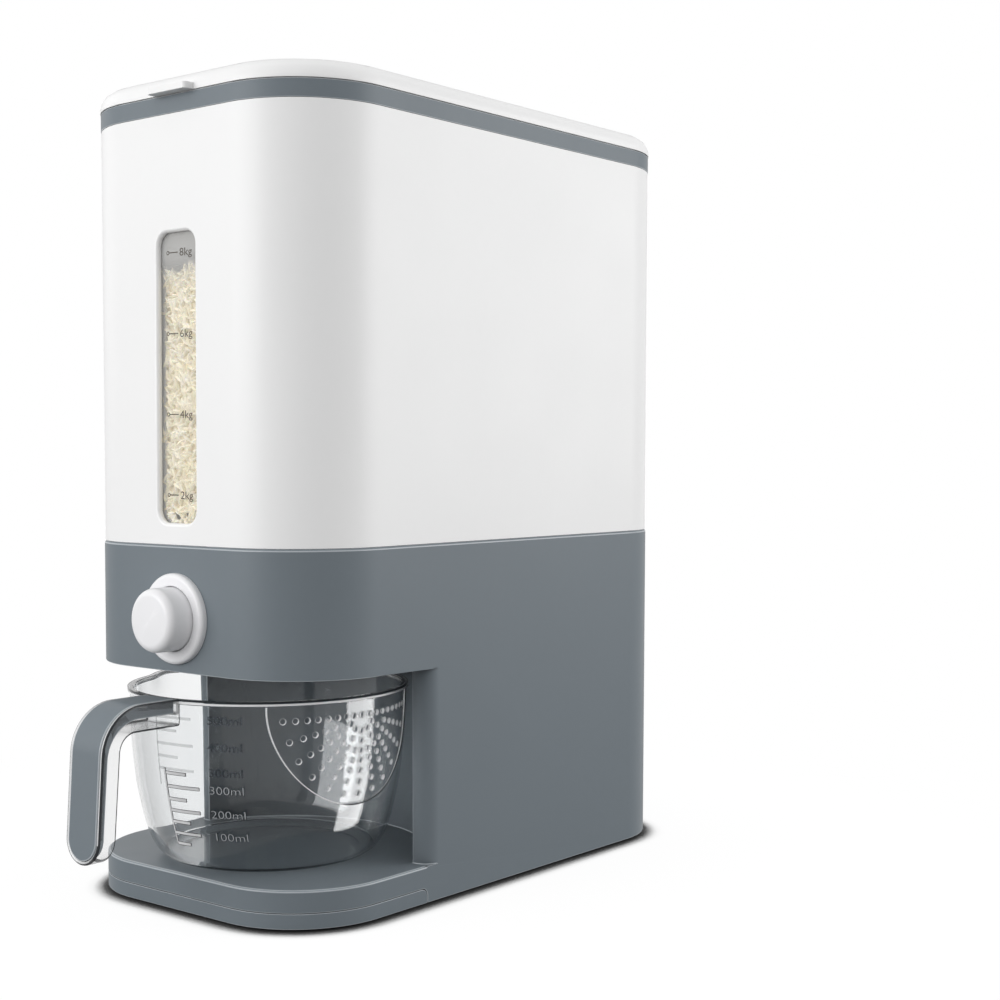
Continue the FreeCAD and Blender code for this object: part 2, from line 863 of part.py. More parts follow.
def make_hinge_pin():
    """Steel pin of the lid's hinge."""
    return pin_bar(0, 0)


def plug_inset():
    """Inset of the lid's plug inside the collar."""
    return collar_inner_inset() + plug_gap


def lid_edge_stations():
    """Levels and insets of the lid's rounded upper edge, in a few flats."""
    stations = []
    for count in range(lid_edge_flats + 1):
        angle = math.pi / 2 * count / lid_edge_flats
        stations.append((body_height - lid_edge_radius * (1 - math.sin(angle)),
                         lid_edge_radius * (1 - math.cos(angle))))
    return stations


def make_lid():
    """White flip lid: rounded shell, plug, finger lip and hinge knuckles."""
    low_z = lid_z + lid_gap
    outer = tower_through([(low_z, 0)] + lid_edge_stations())
    hollow = tower(lid_z - cut_margin, body_height - lid_wall, plug_inset() + plug_wall, inner_outline)
    plug = inner_ring(lid_z - plug_depth, low_z + lid_wall, plug_inset(), plug_inset() + plug_wall)
    lid = outer.cut(hollow).fuse(plug).cut(seal_ring(lid_z, low_z + seal_groove))
    lip_back = front_y + corner_radius / 4
    lip_outline = rectangle(tab_lip_width / 2, front_y - tab_lip_reach, lip_back, tab_lip_corner)
    lip = extruded(lip_outline, at_level(low_z), Vector(0, 0, tab_lip_height))
    lip = lip.cut(tower(lid_z, body_height, lid_wall / 2))
    lid = lid.fuse(lip)
    half = knuckle_length / 2
    barrel = across(hinge_radius, hinge_axis_y(), hinge_axis_z(), -half, half)
    arm_top = low_z + lid_wall
    arm = block((-half, back_y - seal_inset, low_z), (half, hinge_axis_y(), arm_top))
    web = block((-half, hinge_axis_y() - hinge_radius, hinge_axis_z()), (half, hinge_axis_y(), arm_top))
    return lid.fuse([barrel, arm, web]).cut(pin_bar(pin_running_gap, cut_margin)).removeSplitter()


def seal_ring(low_z, high_z):
    """Ring under the lid's edge, between two levels."""
    return inner_ring(low_z, high_z, seal_inset, seal_inset + seal_width)


def make_lid_seal():
    """Silicone ring in the groove under the lid, which closes the gap to the collar."""
    return seal_ring(lid_z, lid_z + lid_gap + seal_groove)


def bowl_form(inset, low_z, high_z):
    """Bowl-shaped solid of many flats, its side moved inwards by the inset."""
    stations = [(cup_radius() * share - inset, cup_base_z + cup_height * level)
                for share, level in bowl_side_shares]
    stations[0] = (stations[0][0], low_z)
    stations[-1] = (stations[-1][0], high_z)
    return solid_through([ring(radius, 0, cup_y, z, bowl_sides) for radius, z in stations])


def spout_form(inset, high_z):
    """Tapering spout on the left of the rim."""
    low_z = cup_rim_z - spout_depth
    middle = spout_inset - cup_radius()
    low = ring(spout_tip_radius - inset / 2, middle + spout_lean, cup_y, low_z, spout_sides)
    high = ring(spout_radius - inset, middle, cup_y, high_z, spout_sides)
    return solid_through([low, high])


def strainer_field():
    """Shallow field on the right of the bowl, half an ellipse under the lip."""
    top_z = cup_rim_z - lip_height
    depth = strainer_depth - lip_height
    points = []
    for count in range(strainer_steps + 1):
        angle = math.pi * count / strainer_steps
        y = cup_y - strainer_half_width * math.cos(angle)
        points.append(Vector(0, y, top_z - depth * math.sin(angle)))
    field = flat(points).extrude(Vector(lip_radius(), 0, 0))
    return field.cut(bowl_form(strainer_recess, cup_base_z, cup_rim_z))


def handle_outline(start, layer, arm_layer, bend):
    """Points of the handle's outer side, moved inwards by the layers, from the bowl to the lower end."""
    top_z = cup_rim_z + handle_top_rise - arm_layer
    foot = front_y - handle_reach + layer
    return [(start, top_z, 0), (foot + handle_lean, top_z, bend), (foot, cup_base_z + handle_end_rise, 0)]


def handle_form(border):
    """Side outline of the handle, extruded across and rounded at its lower end."""
    start = cup_y - cup_radius() + handle_root
    outer = handle_outline(start, 0, 0, handle_bend)
    inner = handle_outline(start, handle_thickness, arm_thickness, handle_inner_bend)
    half = handle_width / 2 - border
    side = extruded(outer + inner[::-1], on_side(-half), Vector(2 * half, 0, 0))
    reach = handle_reach + corner_radius
    end = cup_base_z + handle_end_rise + border
    top_z = cup_rim_z + handle_top_rise
    rounding = half - outline_slack
    corners = [(-half, end, rounding), (half, end, rounding), (half, top_z, 0), (-half, top_z, 0)]
    return side.common(extruded(corners, on_front(front_y - reach), Vector(0, 2 * reach, 0)))


def grip_space():
    """Space over the handle's outer layer, which the grip takes."""
    start = cup_y - cup_radius() - grip_border
    inner = handle_outline(start, grip_layer, grip_arm_layer, handle_bend - grip_layer)
    outer = handle_outline(start, -handle_bend, -handle_bend, 0)
    return extruded(inner + outer[::-1], on_side(-handle_width), Vector(2 * handle_width, 0, 0))


def grip_form():
    """Grey grip, let into the clear handle."""
    return handle_form(grip_border).common(grip_space())


def lip_form():
    """Disc with the outline of the bowl's lip."""
    return prism(lip_radius(), 0, cup_y, cup_rim_z - lip_height, cup_rim_z, bowl_sides)


def make_cup_bowl():
    """Clear bowl with its lip, spout, shallow strainer field and handle."""
    outer = bowl_form(0, cup_base_z, cup_rim_z).fuse(spout_form(0, cup_rim_z)).cut(strainer_field())
    solid = outer.fuse(lip_form()).fuse(handle_form(0))
    inner = bowl_form(cup_wall, cup_base_z + cup_wall, cup_rim_z + cut_margin)
    inner = inner.fuse(spout_form(cup_wall, cup_rim_z + cut_margin))
    return solid.cut(inner).cut(grip_form()).removeSplitter()


def make_cup_handle_grip():
    """Grip as its own piece."""
    return grip_form().cut(bowl_form(0, cup_base_z, cup_rim_z)).cut(lip_form())


PIECES = {
    "base_housing": make_base_housing,
    "bottom_cover": make_bottom_cover,
    "bottom_screws": make_bottom_screws,
    "rubber_feet": make_rubber_feet,
    "hopper_body": make_hopper_body,
    "hopper_floor": make_hopper_floor,
    "window_pane": make_window_pane,
    "window_retainer": make_window_retainer,
    "rim_collar": make_rim_collar,
    "hinge_pin": make_hinge_pin,
    "gate_housing": make_gate_housing,
    "gate_cover": make_gate_cover,
    "gate_screws": make_gate_screws,
    "button_bezel": make_button_bezel,
    "lid": make_lid,
    "lid_seal": make_lid_seal,
    "button_cap": make_button_cap,
    "button_stem": make_button_stem,
    "gate_slide": make_gate_slide,
    "stem_screw": make_stem_screw,
    "return_spring": make_return_spring,
    "cup_bowl": make_cup_bowl,
    "cup_handle_grip": make_cup_handle_grip,
}

os.makedirs("parts", exist_ok=True)
for name, make in PIECES.items():
    piece = make()
    print(name, "solids", len(piece.Solids), "valid", piece.isValid(), "volume", round(piece.Volume))
    piece.exportStep("parts/" + name + ".step")
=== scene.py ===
"""Rice dispenser with a level window, a push-button gate and a clear measuring cup.

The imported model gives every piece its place. This script gives the pieces their finishes, and builds the
parts whose looks need finer meshes: the button, the cup with its strainer, the window's marks and the rice.
Lengths are in millimetres until a mesh is made, and the frame's own coordinates are used throughout.
"""

import json
import logging
import math
import random
from contextlib import contextmanager
from dataclasses import dataclass, field
from enum import Enum
from typing import Callable, Iterator, Optional, Sequence, Union

import bmesh
import bpy
from mathutils import Euler, Matrix, Vector


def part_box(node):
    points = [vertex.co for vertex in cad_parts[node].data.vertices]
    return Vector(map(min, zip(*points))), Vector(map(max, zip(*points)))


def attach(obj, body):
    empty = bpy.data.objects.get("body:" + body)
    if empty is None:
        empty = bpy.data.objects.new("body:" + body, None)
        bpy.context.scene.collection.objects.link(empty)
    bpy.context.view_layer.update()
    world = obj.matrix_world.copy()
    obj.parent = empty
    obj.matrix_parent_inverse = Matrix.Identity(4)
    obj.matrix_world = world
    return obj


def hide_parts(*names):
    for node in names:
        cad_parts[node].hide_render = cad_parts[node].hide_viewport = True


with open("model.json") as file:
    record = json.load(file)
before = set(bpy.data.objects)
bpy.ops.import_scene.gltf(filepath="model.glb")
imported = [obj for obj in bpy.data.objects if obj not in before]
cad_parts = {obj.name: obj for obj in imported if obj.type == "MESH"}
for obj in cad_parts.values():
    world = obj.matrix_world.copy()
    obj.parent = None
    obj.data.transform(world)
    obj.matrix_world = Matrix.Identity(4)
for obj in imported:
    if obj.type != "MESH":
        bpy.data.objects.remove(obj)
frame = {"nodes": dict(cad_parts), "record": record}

LOG = logging.getLogger("rice_dispenser")
MM = 0.001
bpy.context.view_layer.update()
WHITE = (1.0, 1.0, 1.0, 1.0)
# radius at which a turned piece closes on its axis
AXIS = 0.02
# what keeps the two arcs of a round end apart
HAIR = 0.01
# height of a figure as a share of the font's size
FIGURE_SHARE = 0.70
# edges that bend more than this many degrees are rounded, and stay sharp in the shading
SHARP = 32.0

Flat = tuple[float, float]
Point = tuple[float, float, float]
Place = Callable[[float, float], Vector]
Socket = bpy.types.NodeSocket
Value = Union[float, Sequence[float], Socket]
Inputs = Optional[dict[Union[str, int], Value]]


class Body(Enum):
    """Bodies that the pieces ride on."""

    ROOT = "root"
    LID = "lid"
    BUTTON = "button"
    CUP = "cup"


class Operation(Enum):
    """Ways to combine two solids."""

    CUT = "DIFFERENCE"
    KEEP = "INTERSECT"


# ---------------------------------------------------------------- shader nodes


class NodeSketch:
    """A node tree under construction."""

    def __init__(self, tree: bpy.types.NodeTree) -> None:
        """Take the tree that the nodes go into."""
        self.tree = tree

    def give(self, target: Socket, value: Value) -> None:
        """Link an input to a source, or set its own value.

        Args:
            target: The input.
            value: The source, a number or a colour.
        """
        if isinstance(value, Socket):
            self.tree.links.new(value, target)
        else:
            target.default_value = value

    def node(self, kind: str, inputs: Inputs = None, **properties: object) -> bpy.types.Node:
        """Add a node.

        Args:
            kind: Its type, without the words that all shader nodes start with.
            inputs: What its inputs get, by name or number.
            properties: Its own settings, which come before its inputs.

        Returns:
            The node.
        """
        made = self.tree.nodes.new("ShaderNode" + kind)
        for key, value in properties.items():
            setattr(made, key, value)
        for key, value in (inputs or {}).items():
            self.give(made.inputs[key], value)
        return made

    def maths(self, operation: str, first: Value, second: Value) -> Socket:
        """Result of a maths node."""
        return self.node("Math", {0: first, 1: second}, operation=operation).outputs[0]

    def noise(self, scale: Value, detail: float = 2.0) -> Socket:
        """Noise over the object's own coordinates."""
        place = self.node("TexCoord").outputs["Object"]
        return self.node("TexNoise", {"Vector": place, "Scale": scale, "Detail": detail}).outputs[0]

    def spread(self, value: Socket, before: Sequence[float] = (0.0, 1.0), after: Sequence[Value] = (0.0, 1.0),
               curve: str = "LINEAR") -> Socket:
        """Carry a value from one range over to another, and hold it inside.

        Args:
            value: The value.
            before: The range that it comes from.
            after: The range that it goes to.
            curve: How it goes from end to end.

        Returns:
            The new value.
        """
        ends = dict(zip(("Value", "From Min", "From Max", "To Min", "To Max"), (value, *before, *after)))
        return self.node("MapRange", ends, interpolation_type=curve).outputs[0]

    def blend(self, mask: Socket, first: Value, second: Sequence[float]) -> Socket:
        """Mix a plain or linked colour with a plain one by a mask.

        Args:
            mask: Share of the second colour.
            first: The first colour, plain or linked.
            second: The second colour.

        Returns:
            The mixed colour.
        """
        start = first if isinstance(first, Socket) else (*first, 1.0)
        inputs = {"Factor": mask, "A": start, "B": (*second, 1.0)}
        return self.node("Mix", inputs, data_type="RGBA").outputs["Result"]


class ShaderGroup(NodeSketch):
    """A node group that several finishes share, built once and placed with each finish's own values."""

    def __init__(self, name: str, inputs: dict[str, float], output: str) -> None:
        """Make the group's sockets.

        Args:
            name: Name of the group.
            inputs: Input names with their usual values.
            output: Name of the one value it puts out.
        """
        super().__init__(bpy.data.node_groups.new(name, "ShaderNodeTree"))
        for label, value in inputs.items():
            socket = self.tree.interface.new_socket(label, in_out="INPUT", socket_type="NodeSocketFloat")
            socket.default_value = value
        self.tree.interface.new_socket(output, in_out="OUTPUT", socket_type="NodeSocketFloat")
        self.entry = self.tree.nodes.new("NodeGroupInput")
        self.exit = self.tree.nodes.new("NodeGroupOutput")

    def put_out(self, value: Socket) -> "ShaderGroup":
        """Let a value be the group's output, and return the group."""
        self.give(self.exit.inputs[0], value)
        return self


def build_grain_group() -> ShaderGroup:
    """Fine mould grain as a height: a tight noise over a slower one.

    Returns:
        The group.
    """
    group = ShaderGroup("mould_grain", {"Scale": 900.0, "Coarse": 60.0, "Share": 0.35}, "Height")
    given = group.entry.outputs
    coarse = group.maths("MULTIPLY", group.noise(given["Coarse"]), given["Share"])
    return group.put_out(group.maths("ADD", group.noise(given["Scale"]), coarse))


def build_rubbing_and_highlight_group() -> ShaderGroup:
    """Mask of edges made lighter by rubbing and by a painted highlight: where the mesh is pointed, broken up
    by noise.

    Returns:
        The group.
    """
    flat_pointiness = 0.505
    group = ShaderGroup("edge_rubbing_and_highlight", {"Breakup": 220.0, "Gain": 6.0}, "Mask")
    given = group.entry.outputs
    edge = group.maths("SUBTRACT", group.node("NewGeometry").outputs["Pointiness"], flat_pointiness)
    edge = group.maths("MULTIPLY", edge, given["Gain"])
    broken = group.maths("MULTIPLY", edge, group.noise(given["Breakup"]))
    return group.put_out(group.node("Clamp", {"Value": broken}).outputs[0])


def build_flow_group() -> ShaderGroup:
    """Slow variation over a moulded wall, for its tint and its gloss.

    Returns:
        The group.
    """
    noise_range = (0.3, 0.7)
    group = ShaderGroup("mould_flow", {"Scale": 7.0, "Low": 0.0, "High": 1.0}, "Value")
    given = group.entry.outputs
    noise = group.noise(given["Scale"], detail=4.0)
    return group.put_out(group.spread(noise, noise_range, (given["Low"], given["High"])))


GRAIN = build_grain_group()
RUBBING_AND_HIGHLIGHT = build_rubbing_and_highlight_group()
FLOW = build_flow_group()


class MaterialSketch(NodeSketch):
    """A material under construction, with one Principled shader."""

    def __init__(self, name: str) -> None:
        """Start an empty material with its shader and output.

        Args:
            name: Name of the material.
        """
        self.material = bpy.data.materials.new(name)
        self.material.use_nodes = True
        super().__init__(self.material.node_tree)
        self.shader = self.tree.nodes["Principled BSDF"]

    def feed(self, **values: Value) -> None:
        """Give the shader's inputs, whose names have _ for a space here, a plain or linked value."""
        for name, value in values.items():
            self.give(self.shader.inputs[name.replace("_", " ")], value)

    def group(self, group: ShaderGroup, **values: float) -> Socket:
        """Place a shared group with values for its inputs, and return its output.

        Args:
            group: The group.
            values: Values of its inputs, by name.

        Returns:
            The group's output.
        """
        made = self.node("Group", node_tree=group.tree)
        for key, value in values.items():
            made.inputs[key].default_value = value
        return made.outputs[0]

    def flow(self, scale: float, low: float = 0.0, high: float = 1.0) -> Socket:
        """Value that changes slowly over the surface between two ends."""
        return self.group(FLOW, Scale=scale, Low=low, High=high)

    def tint(self, scale: float, first: Sequence[float], second: Sequence[float]) -> Socket:
        """Colour that changes slowly over the surface between two."""
        return self.blend(self.flow(scale), first, second)

    def facing(self, power: float) -> Socket:
        """Value that rises from 0 where a surface faces the eye to 1 where it turns away, by a power."""
        return self.maths("POWER", self.node("LayerWeight", {"Blend": 0.5}).outputs["Facing"], power)

    def bump(self, height: Socket, strength: float, distance: float) -> None:
        """Let a height bend the surface's normal."""
        made = self.node("Bump", {"Strength": strength, "Distance": distance * MM, "Height": height})
        self.feed(Normal=made.outputs[0])


# ---------------------------------------------------------------- finishes


def shade(colour: Sequence[float], factor: float) -> tuple[float, ...]:
    """A colour made lighter or darker by a factor."""
    return tuple(min(1.0, channel * factor) for channel in colour)


@dataclass(frozen=True)
class Finish:
    """A surface's finish, known by the name of its material."""

    name: str

    def material(self) -> bpy.types.Material:
        """Build the material.

        Returns:
            The material.
        """
        sketch = MaterialSketch(self.name)
        self.draw(sketch)
        return sketch.material

    def draw(self, sketch: MaterialSketch) -> None:
        """Draw the finish into a material."""
        raise NotImplementedError


@dataclass(frozen=True)
class PlasticFinish(Finish):
    """Moulded opaque plastic with grain, flow marks and edges lighter from light rubbing and from a painted
    highlight, with painted shade in its hollows and along its silhouette.
    """

    colour: Sequence[float]
    roughness: float
    grain: float = 0.25
    grain_scale: float = 900.0
    # how much lighter the edges get, partly from rubbing and partly as a painted highlight
    rub_and_highlight: float = 1.10
    specular: float = 0.5
    # factor of the painted shade deep in the piece's own hollows, and how far the occlusion looks for them
    recess_shade: float = 1.0
    recess_shade_reach: float = 75.0
    # factor of the painted shade along the silhouette, and how tightly it keeps to it
    rim: float = 0.74
    silhouette_shade_power: float = 6.0
    # shares of open sky between which painted shade darkens a hollow
    recess_shade_open: Flat = (0.92, 0.40)
    tint_scale: float = 7.0
    tint_shade: float = 0.975
    gloss_scale: float = 23.0
    gloss_change: float = 0.03
    rubbing_and_highlight_breakup: float = 220.0
    rubbing_and_highlight_gain: float = 5.0
    coarse_scale: float = 60.0
    coarse_share: float = 0.35
    grain_depth: float = 0.05

    def draw(self, sketch: MaterialSketch) -> None:
        """Draw the plastic, with painted shade: darker by its hollow-shade factor deep inside a hollow of the
        same piece, and darker along its silhouette.

        Args:
            sketch: The material that takes its nodes.
        """
        tint = sketch.tint(self.tint_scale, self.colour, shade(self.colour, self.tint_shade))
        # edges lighter from rubbing and from a painted highlight
        rubbed_and_lit = sketch.group(RUBBING_AND_HIGHLIGHT, Breakup=self.rubbing_and_highlight_breakup, Gain=self.rubbing_and_highlight_gain)
        worn_and_shaded = sketch.blend(rubbed_and_lit, tint, shade(self.colour, self.rub_and_highlight))
        # painted shade: darker deep inside the piece's own hollows, as ambient occlusion finds them
        if self.recess_shade < 1.0:
            reach = {"Distance": self.recess_shade_reach * MM}
            sky = sketch.node("AmbientOcclusion", reach, samples=6, only_local=True).outputs["AO"]
            worn_and_shaded = sketch.blend(sketch.spread(sky, self.recess_shade_open), worn_and_shaded, shade(self.colour, self.recess_shade))
        low, high = self.roughness - self.gloss_change, self.roughness + self.gloss_change
        # painted shade where the surface turns away from the eye
        turned_away = sketch.facing(self.silhouette_shade_power)
        sketch.feed(Base_Color=sketch.blend(turned_away, worn_and_shaded, shade(self.colour, self.rim)),
                    Roughness=sketch.flow(self.gloss_scale, low, high), Specular_IOR_Level=self.specular)
        height = sketch.group(GRAIN, Scale=self.grain_scale, Coarse=self.coarse_scale, Share=self.coarse_share)
        sketch.bump(height, self.grain, self.grain_depth)


@dataclass(frozen=True)
class ClearFinish(Finish):
    """Clear moulded plastic with faint handling marks."""

    colour: Sequence[float] = (0.97, 0.98, 0.985)
    # colour where the plastic is seen along its walls, and how tightly it keeps to them: painted shade for the
    # dark lines of its silhouette
    edge: Sequence[float] = (0.10, 0.115, 0.13)
    edge_power: float = 6.5
    roughness: float = 0.02
    ior: float = 1.49
    waviness: float = 0.04
    gloss: float = 0.5
    tint_scale: float = 16.0
    tint_shade: float = 0.985
    gloss_scale: float = 60.0
    gloss_shares: Flat = (0.5, 1.5)
    wave_scale: float = 90.0
    coarse_scale: float = 14.0
    wave_depth: float = 0.2

    def draw(self, sketch: MaterialSketch) -> None:
        """Draw the plastic, with painted shade that darkens it where it is looked through along its walls.

        Args:
            sketch: The material that takes its nodes.
        """
        tint = sketch.tint(self.tint_scale, self.colour, shade(self.colour, self.tint_shade))
        low, high = (self.roughness * share for share in self.gloss_shares)
        sketch.feed(Transmission_Weight=1.0, IOR=self.ior, Specular_IOR_Level=self.gloss,
                    Base_Color=sketch.blend(sketch.facing(self.edge_power), tint, self.edge),
                    Roughness=sketch.flow(self.gloss_scale, low, high))
        height = sketch.group(GRAIN, Scale=self.wave_scale, Coarse=self.coarse_scale, Share=1.0)
        sketch.bump(height, self.waviness, self.wave_depth)


@dataclass(frozen=True)
class FilmFinish(Finish):
    """Clear plastic drawn as painted light and shade by how much it covers: little where it faces the eye,
    more along its walls, where its colour turns to its edge colour.
    """

    colour: Sequence[float] = (0.80, 0.81, 0.82)
    # colour along the walls, part of the painted light and shade
    edge: Sequence[float] = (0.10, 0.11, 0.12)
    cover: float = 0.08
    edge_cover: float = 0.95
    edge_power: float = 3.0
    roughness: float = 0.08
    tint_scale: float = 30.0
    tint_shade: float = 0.96
    gloss_scale: float = 60.0
    gloss_shares: Flat = (0.7, 1.3)

    def draw(self, sketch: MaterialSketch) -> None:
        """Draw the film.

        Args:
            sketch: The material that takes its nodes.
        """
        turned_away = sketch.facing(self.edge_power)
        tint = sketch.tint(self.tint_scale, self.colour, shade(self.colour, self.tint_shade))
        low, high = (self.roughness * share for share in self.gloss_shares)
        sketch.feed(Alpha=sketch.spread(turned_away, after=(self.cover, self.edge_cover)),
                    Base_Color=sketch.blend(turned_away, tint, self.edge),
                    Roughness=sketch.flow(self.gloss_scale, low, high))


@dataclass(frozen=True)
class PaneFinish(Finish):
    """Thin clear pane whose upper part carries a film of rice flour."""

    covers: Flat = (0.10, 0.42)
    film_z: float = 322.0
    fade: float = 9.0
    colour: Sequence[float] = (0.80, 0.80, 0.79)
    second_colour: Sequence[float] = (0.74, 0.74, 0.73)
    tint_scale: float = 40.0
    gloss_scale: float = 50.0
    roughness: Flat = (0.10, 0.16)

    def draw(self, sketch: MaterialSketch) -> None:
        """Draw the pane, with the film above the level of the rice.

        Args:
            sketch: The material that takes its nodes.
        """
        place = sketch.node("TexCoord").outputs["Object"]
        level = sketch.node("SeparateXYZ", {0: place}).outputs["Z"]
        edge = ((self.film_z - self.fade) * MM, (self.film_z + self.fade) * MM)
        sketch.feed(Alpha=sketch.spread(level, edge, self.covers),
                    Base_Color=sketch.tint(self.tint_scale, self.colour, self.second_colour),
                    Roughness=sketch.flow(self.gloss_scale, *self.roughness))


@dataclass(frozen=True)
class SteelFinish(Finish):
    """Turned steel with fine lines."""

    colour: Sequence[float] = (0.62, 0.62, 0.61)
    roughness: Flat = (0.28, 0.43)
    tint_scale: float = 120.0
    tint_shade: float = 0.85
    line_scale: float = 300.0
    grain: float = 0.2
    grain_scale: float = 2500.0
    grain_depth: float = 0.02

    def draw(self, sketch: MaterialSketch) -> None:
        """Draw the steel.

        Args:
            sketch: The material that takes its nodes.
        """
        tint = sketch.tint(self.tint_scale, self.colour, shade(self.colour, self.tint_shade))
        sketch.feed(Metallic=1.0, Base_Color=tint, Roughness=sketch.flow(self.line_scale, *self.roughness))
        height = sketch.group(GRAIN, Scale=self.grain_scale, Coarse=self.line_scale, Share=0.5)
        sketch.bump(height, self.grain, self.grain_depth)


@dataclass(frozen=True)
class RiceFinish(Finish):
    """Polished rice: pale cream, a little translucent, with chalky cores."""

    colour: Sequence[float] = (0.88, 0.81, 0.63)
    chalk: Sequence[float] = (0.94, 0.90, 0.79)
    mottle: float = 150.0
    depth_light: float = 0.3
    # glow in the rice's own colour: painted light that lifts its shadows
    shadow_lift_glow: float = 0.07
    # strength and height of the bumps
    relief: Flat = (0.15, 0.2)
    cell_scale: float = 260.0
    gloss_scale: float = 200.0
    roughness: Flat = (0.38, 0.55)
    # how deep red, green and blue light goes, in metres
    depths: Point = (0.0012, 0.0009, 0.0005)

    def draw(self, sketch: MaterialSketch) -> None:
        """Draw the rice, whose bumps stand for single grains where it covers the heap.

        Args:
            sketch: The material that takes its nodes.
        """
        sketch.feed(Base_Color=sketch.tint(self.mottle, self.colour, self.chalk),
                    Roughness=sketch.flow(self.gloss_scale, *self.roughness),
                    Emission_Color=(*self.colour, 1.0), Emission_Strength=self.shadow_lift_glow,
                    Subsurface_Weight=self.depth_light, Subsurface_Radius=self.depths)
        place = sketch.node("TexCoord").outputs["Object"]
        cells = sketch.node("TexVoronoi", {"Vector": place, "Scale": self.cell_scale})
        sketch.bump(cells.outputs["Distance"], *self.relief)


@dataclass(frozen=True)
class InkFinish(Finish):
    """Printed ink, slightly uneven."""

    colour: Sequence[float] = (0.055, 0.045, 0.035)
    tint_scale: float = 600.0
    tint_shade: float = 1.9
    gloss_scale: float = 300.0
    roughness: Flat = (0.45, 0.6)

    def draw(self, sketch: MaterialSketch) -> None:
        """Draw the ink."""
        tint = sketch.tint(self.tint_scale, self.colour, shade(self.colour, self.tint_shade))
        sketch.feed(Base_Color=tint, Roughness=sketch.flow(self.gloss_scale, *self.roughness))


SLOT_FINISHES = {
    "white_plastic": PlasticFinish("white_satin_plastic", (0.82, 0.82, 0.82), 0.34, 0.16, rub_and_highlight=1.05,
                                   specular=0.3),
    # the slate plastic gets painted shade in its hollows, such as the niche
    "grey_plastic": PlasticFinish("slate_satin_plastic", (0.160, 0.187, 0.208), 0.42, 0.30, rub_and_highlight=1.2,
                                  specular=0.25, recess_shade=0.42),
    "button_plastic": PlasticFinish("button_satin_plastic", (0.80, 0.80, 0.815), 0.36, 0.14),
    "inner_plastic": PlasticFinish("natural_inner_plastic", (0.74, 0.74, 0.71), 0.45, 0.3),
    "clear_plastic": ClearFinish("clear_cup_plastic"),
    "silicone": PlasticFinish("milky_silicone", (0.70, 0.70, 0.69), 0.6, 0.2),
    "rubber": PlasticFinish("black_rubber", (0.025, 0.025, 0.026), 0.75, 0.6, 500.0, 1.6),
    "steel": SteelFinish("bright_steel"),
}
# lighter finishes for the rounded edges of the main mouldings: painted highlights
EDGE_HIGHLIGHT_FINISHES = {
    "white_plastic": PlasticFinish("white_edge_highlight", (0.88, 0.88, 0.88), 0.28, 0.1),
    "grey_plastic": PlasticFinish("slate_edge_highlight", (0.36, 0.39, 0.415), 0.30, 0.15, rub_and_highlight=1.2,
                                  specular=0.4),
}


class Use(Enum):
    """Finishes that no material slot has, by what they are used for."""

    PANE = PaneFinish("window_pane_plastic")
    GRAIN = RiceFinish("rice_grain")
    HEAP = RiceFinish("rice_heap", (0.62, 0.53, 0.36), (0.84, 0.77, 0.60), mottle=320.0, depth_light=0.0,
                      relief=(0.8, 1.2))
    INK = InkFinish("scale_ink")
    INNER_SIDE = ClearFinish("clear_cup_inner_side", gloss=0.0)
    HANDLE = FilmFinish("handle_clear_plastic")
    # light film on the handle's rounded edges: painted highlight
    HANDLE_HIGHLIGHT = FilmFinish("handle_edge_highlight", (0.88, 0.89, 0.9), (0.02, 0.022, 0.025), 0.8, 1.0, 1.1)
    # dark film on the rounded edges along the handle's outer side: painted shade outline
    HANDLE_SHADE_OUTLINE = FilmFinish("handle_shade_outline", (0.04, 0.043, 0.047), (0.02, 0.022, 0.025), 0.95, 1.0)
    # light film on the strainer's cut walls and the bead's left part: painted highlight, darker along its
    # walls as painted shade
    WALL_HIGHLIGHT = FilmFinish("strainer_wall_highlight", (0.86, 0.87, 0.88), (0.30, 0.31, 0.32), 0.85, 0.98,
                              2.0, 0.15)
    # dark film that paints shade lines round the rim, the raised marks and the strainer's bead
    SHADE_LINE = FilmFinish("painted_shade_line", (0.03, 0.035, 0.04), (0.02, 0.02, 0.022), 0.85, 0.95)
    # light film that paints a highlight line round the rim
    RIM_HIGHLIGHT = FilmFinish("rim_highlight_line", (0.90, 0.90, 0.91), (0.8, 0.8, 0.82), 0.75, 0.9)
    # films over the raised figures and ticks: painted light and shade, the far ones fainter
    FIGURE_SHADING = FilmFinish("raised_figure_shading", (0.42, 0.44, 0.46), (0.3, 0.3, 0.3), 0.9, 0.95)
    TICK_HIGHLIGHT = FilmFinish("raised_tick_highlight", (0.93, 0.93, 0.94), (0.8, 0.8, 0.8), 0.97, 0.98)
    FAR_FIGURE_SHADE = FilmFinish("far_figure_shade_line", (0.035, 0.045, 0.06), (0.03, 0.03, 0.04), 0.36, 0.5)
    FAR_TICK_SHADE = FilmFinish("far_tick_shade_line", (0.06, 0.07, 0.08), (0.05, 0.05, 0.06), 0.16, 0.3)


class Finishes:
    """All the materials, built once and kept by the material slot or the use they serve."""

    def __init__(self) -> None:
        """Build every material."""
        self.by_slot = {slot: finish.material() for slot, finish in SLOT_FINISHES.items()}
        # the painted highlights of the rounded edges
        self.edges = {slot: finish.material() for slot, finish in EDGE_HIGHLIGHT_FINISHES.items()}
        self.by_use = {use: use.value.material() for use in Use}


# ---------------------------------------------------------------- mesh tools


def in_scene(name: str, data: bpy.types.ID) -> bpy.types.Object:
    """Object in the scene that shows a mesh, curve, lamp or camera.

    Args:
        name: Name of the object.
        data: What it shows.

    Returns:
        The object.
    """
    made = bpy.data.objects.new(name, data)
    bpy.context.scene.collection.objects.link(made)
    return made


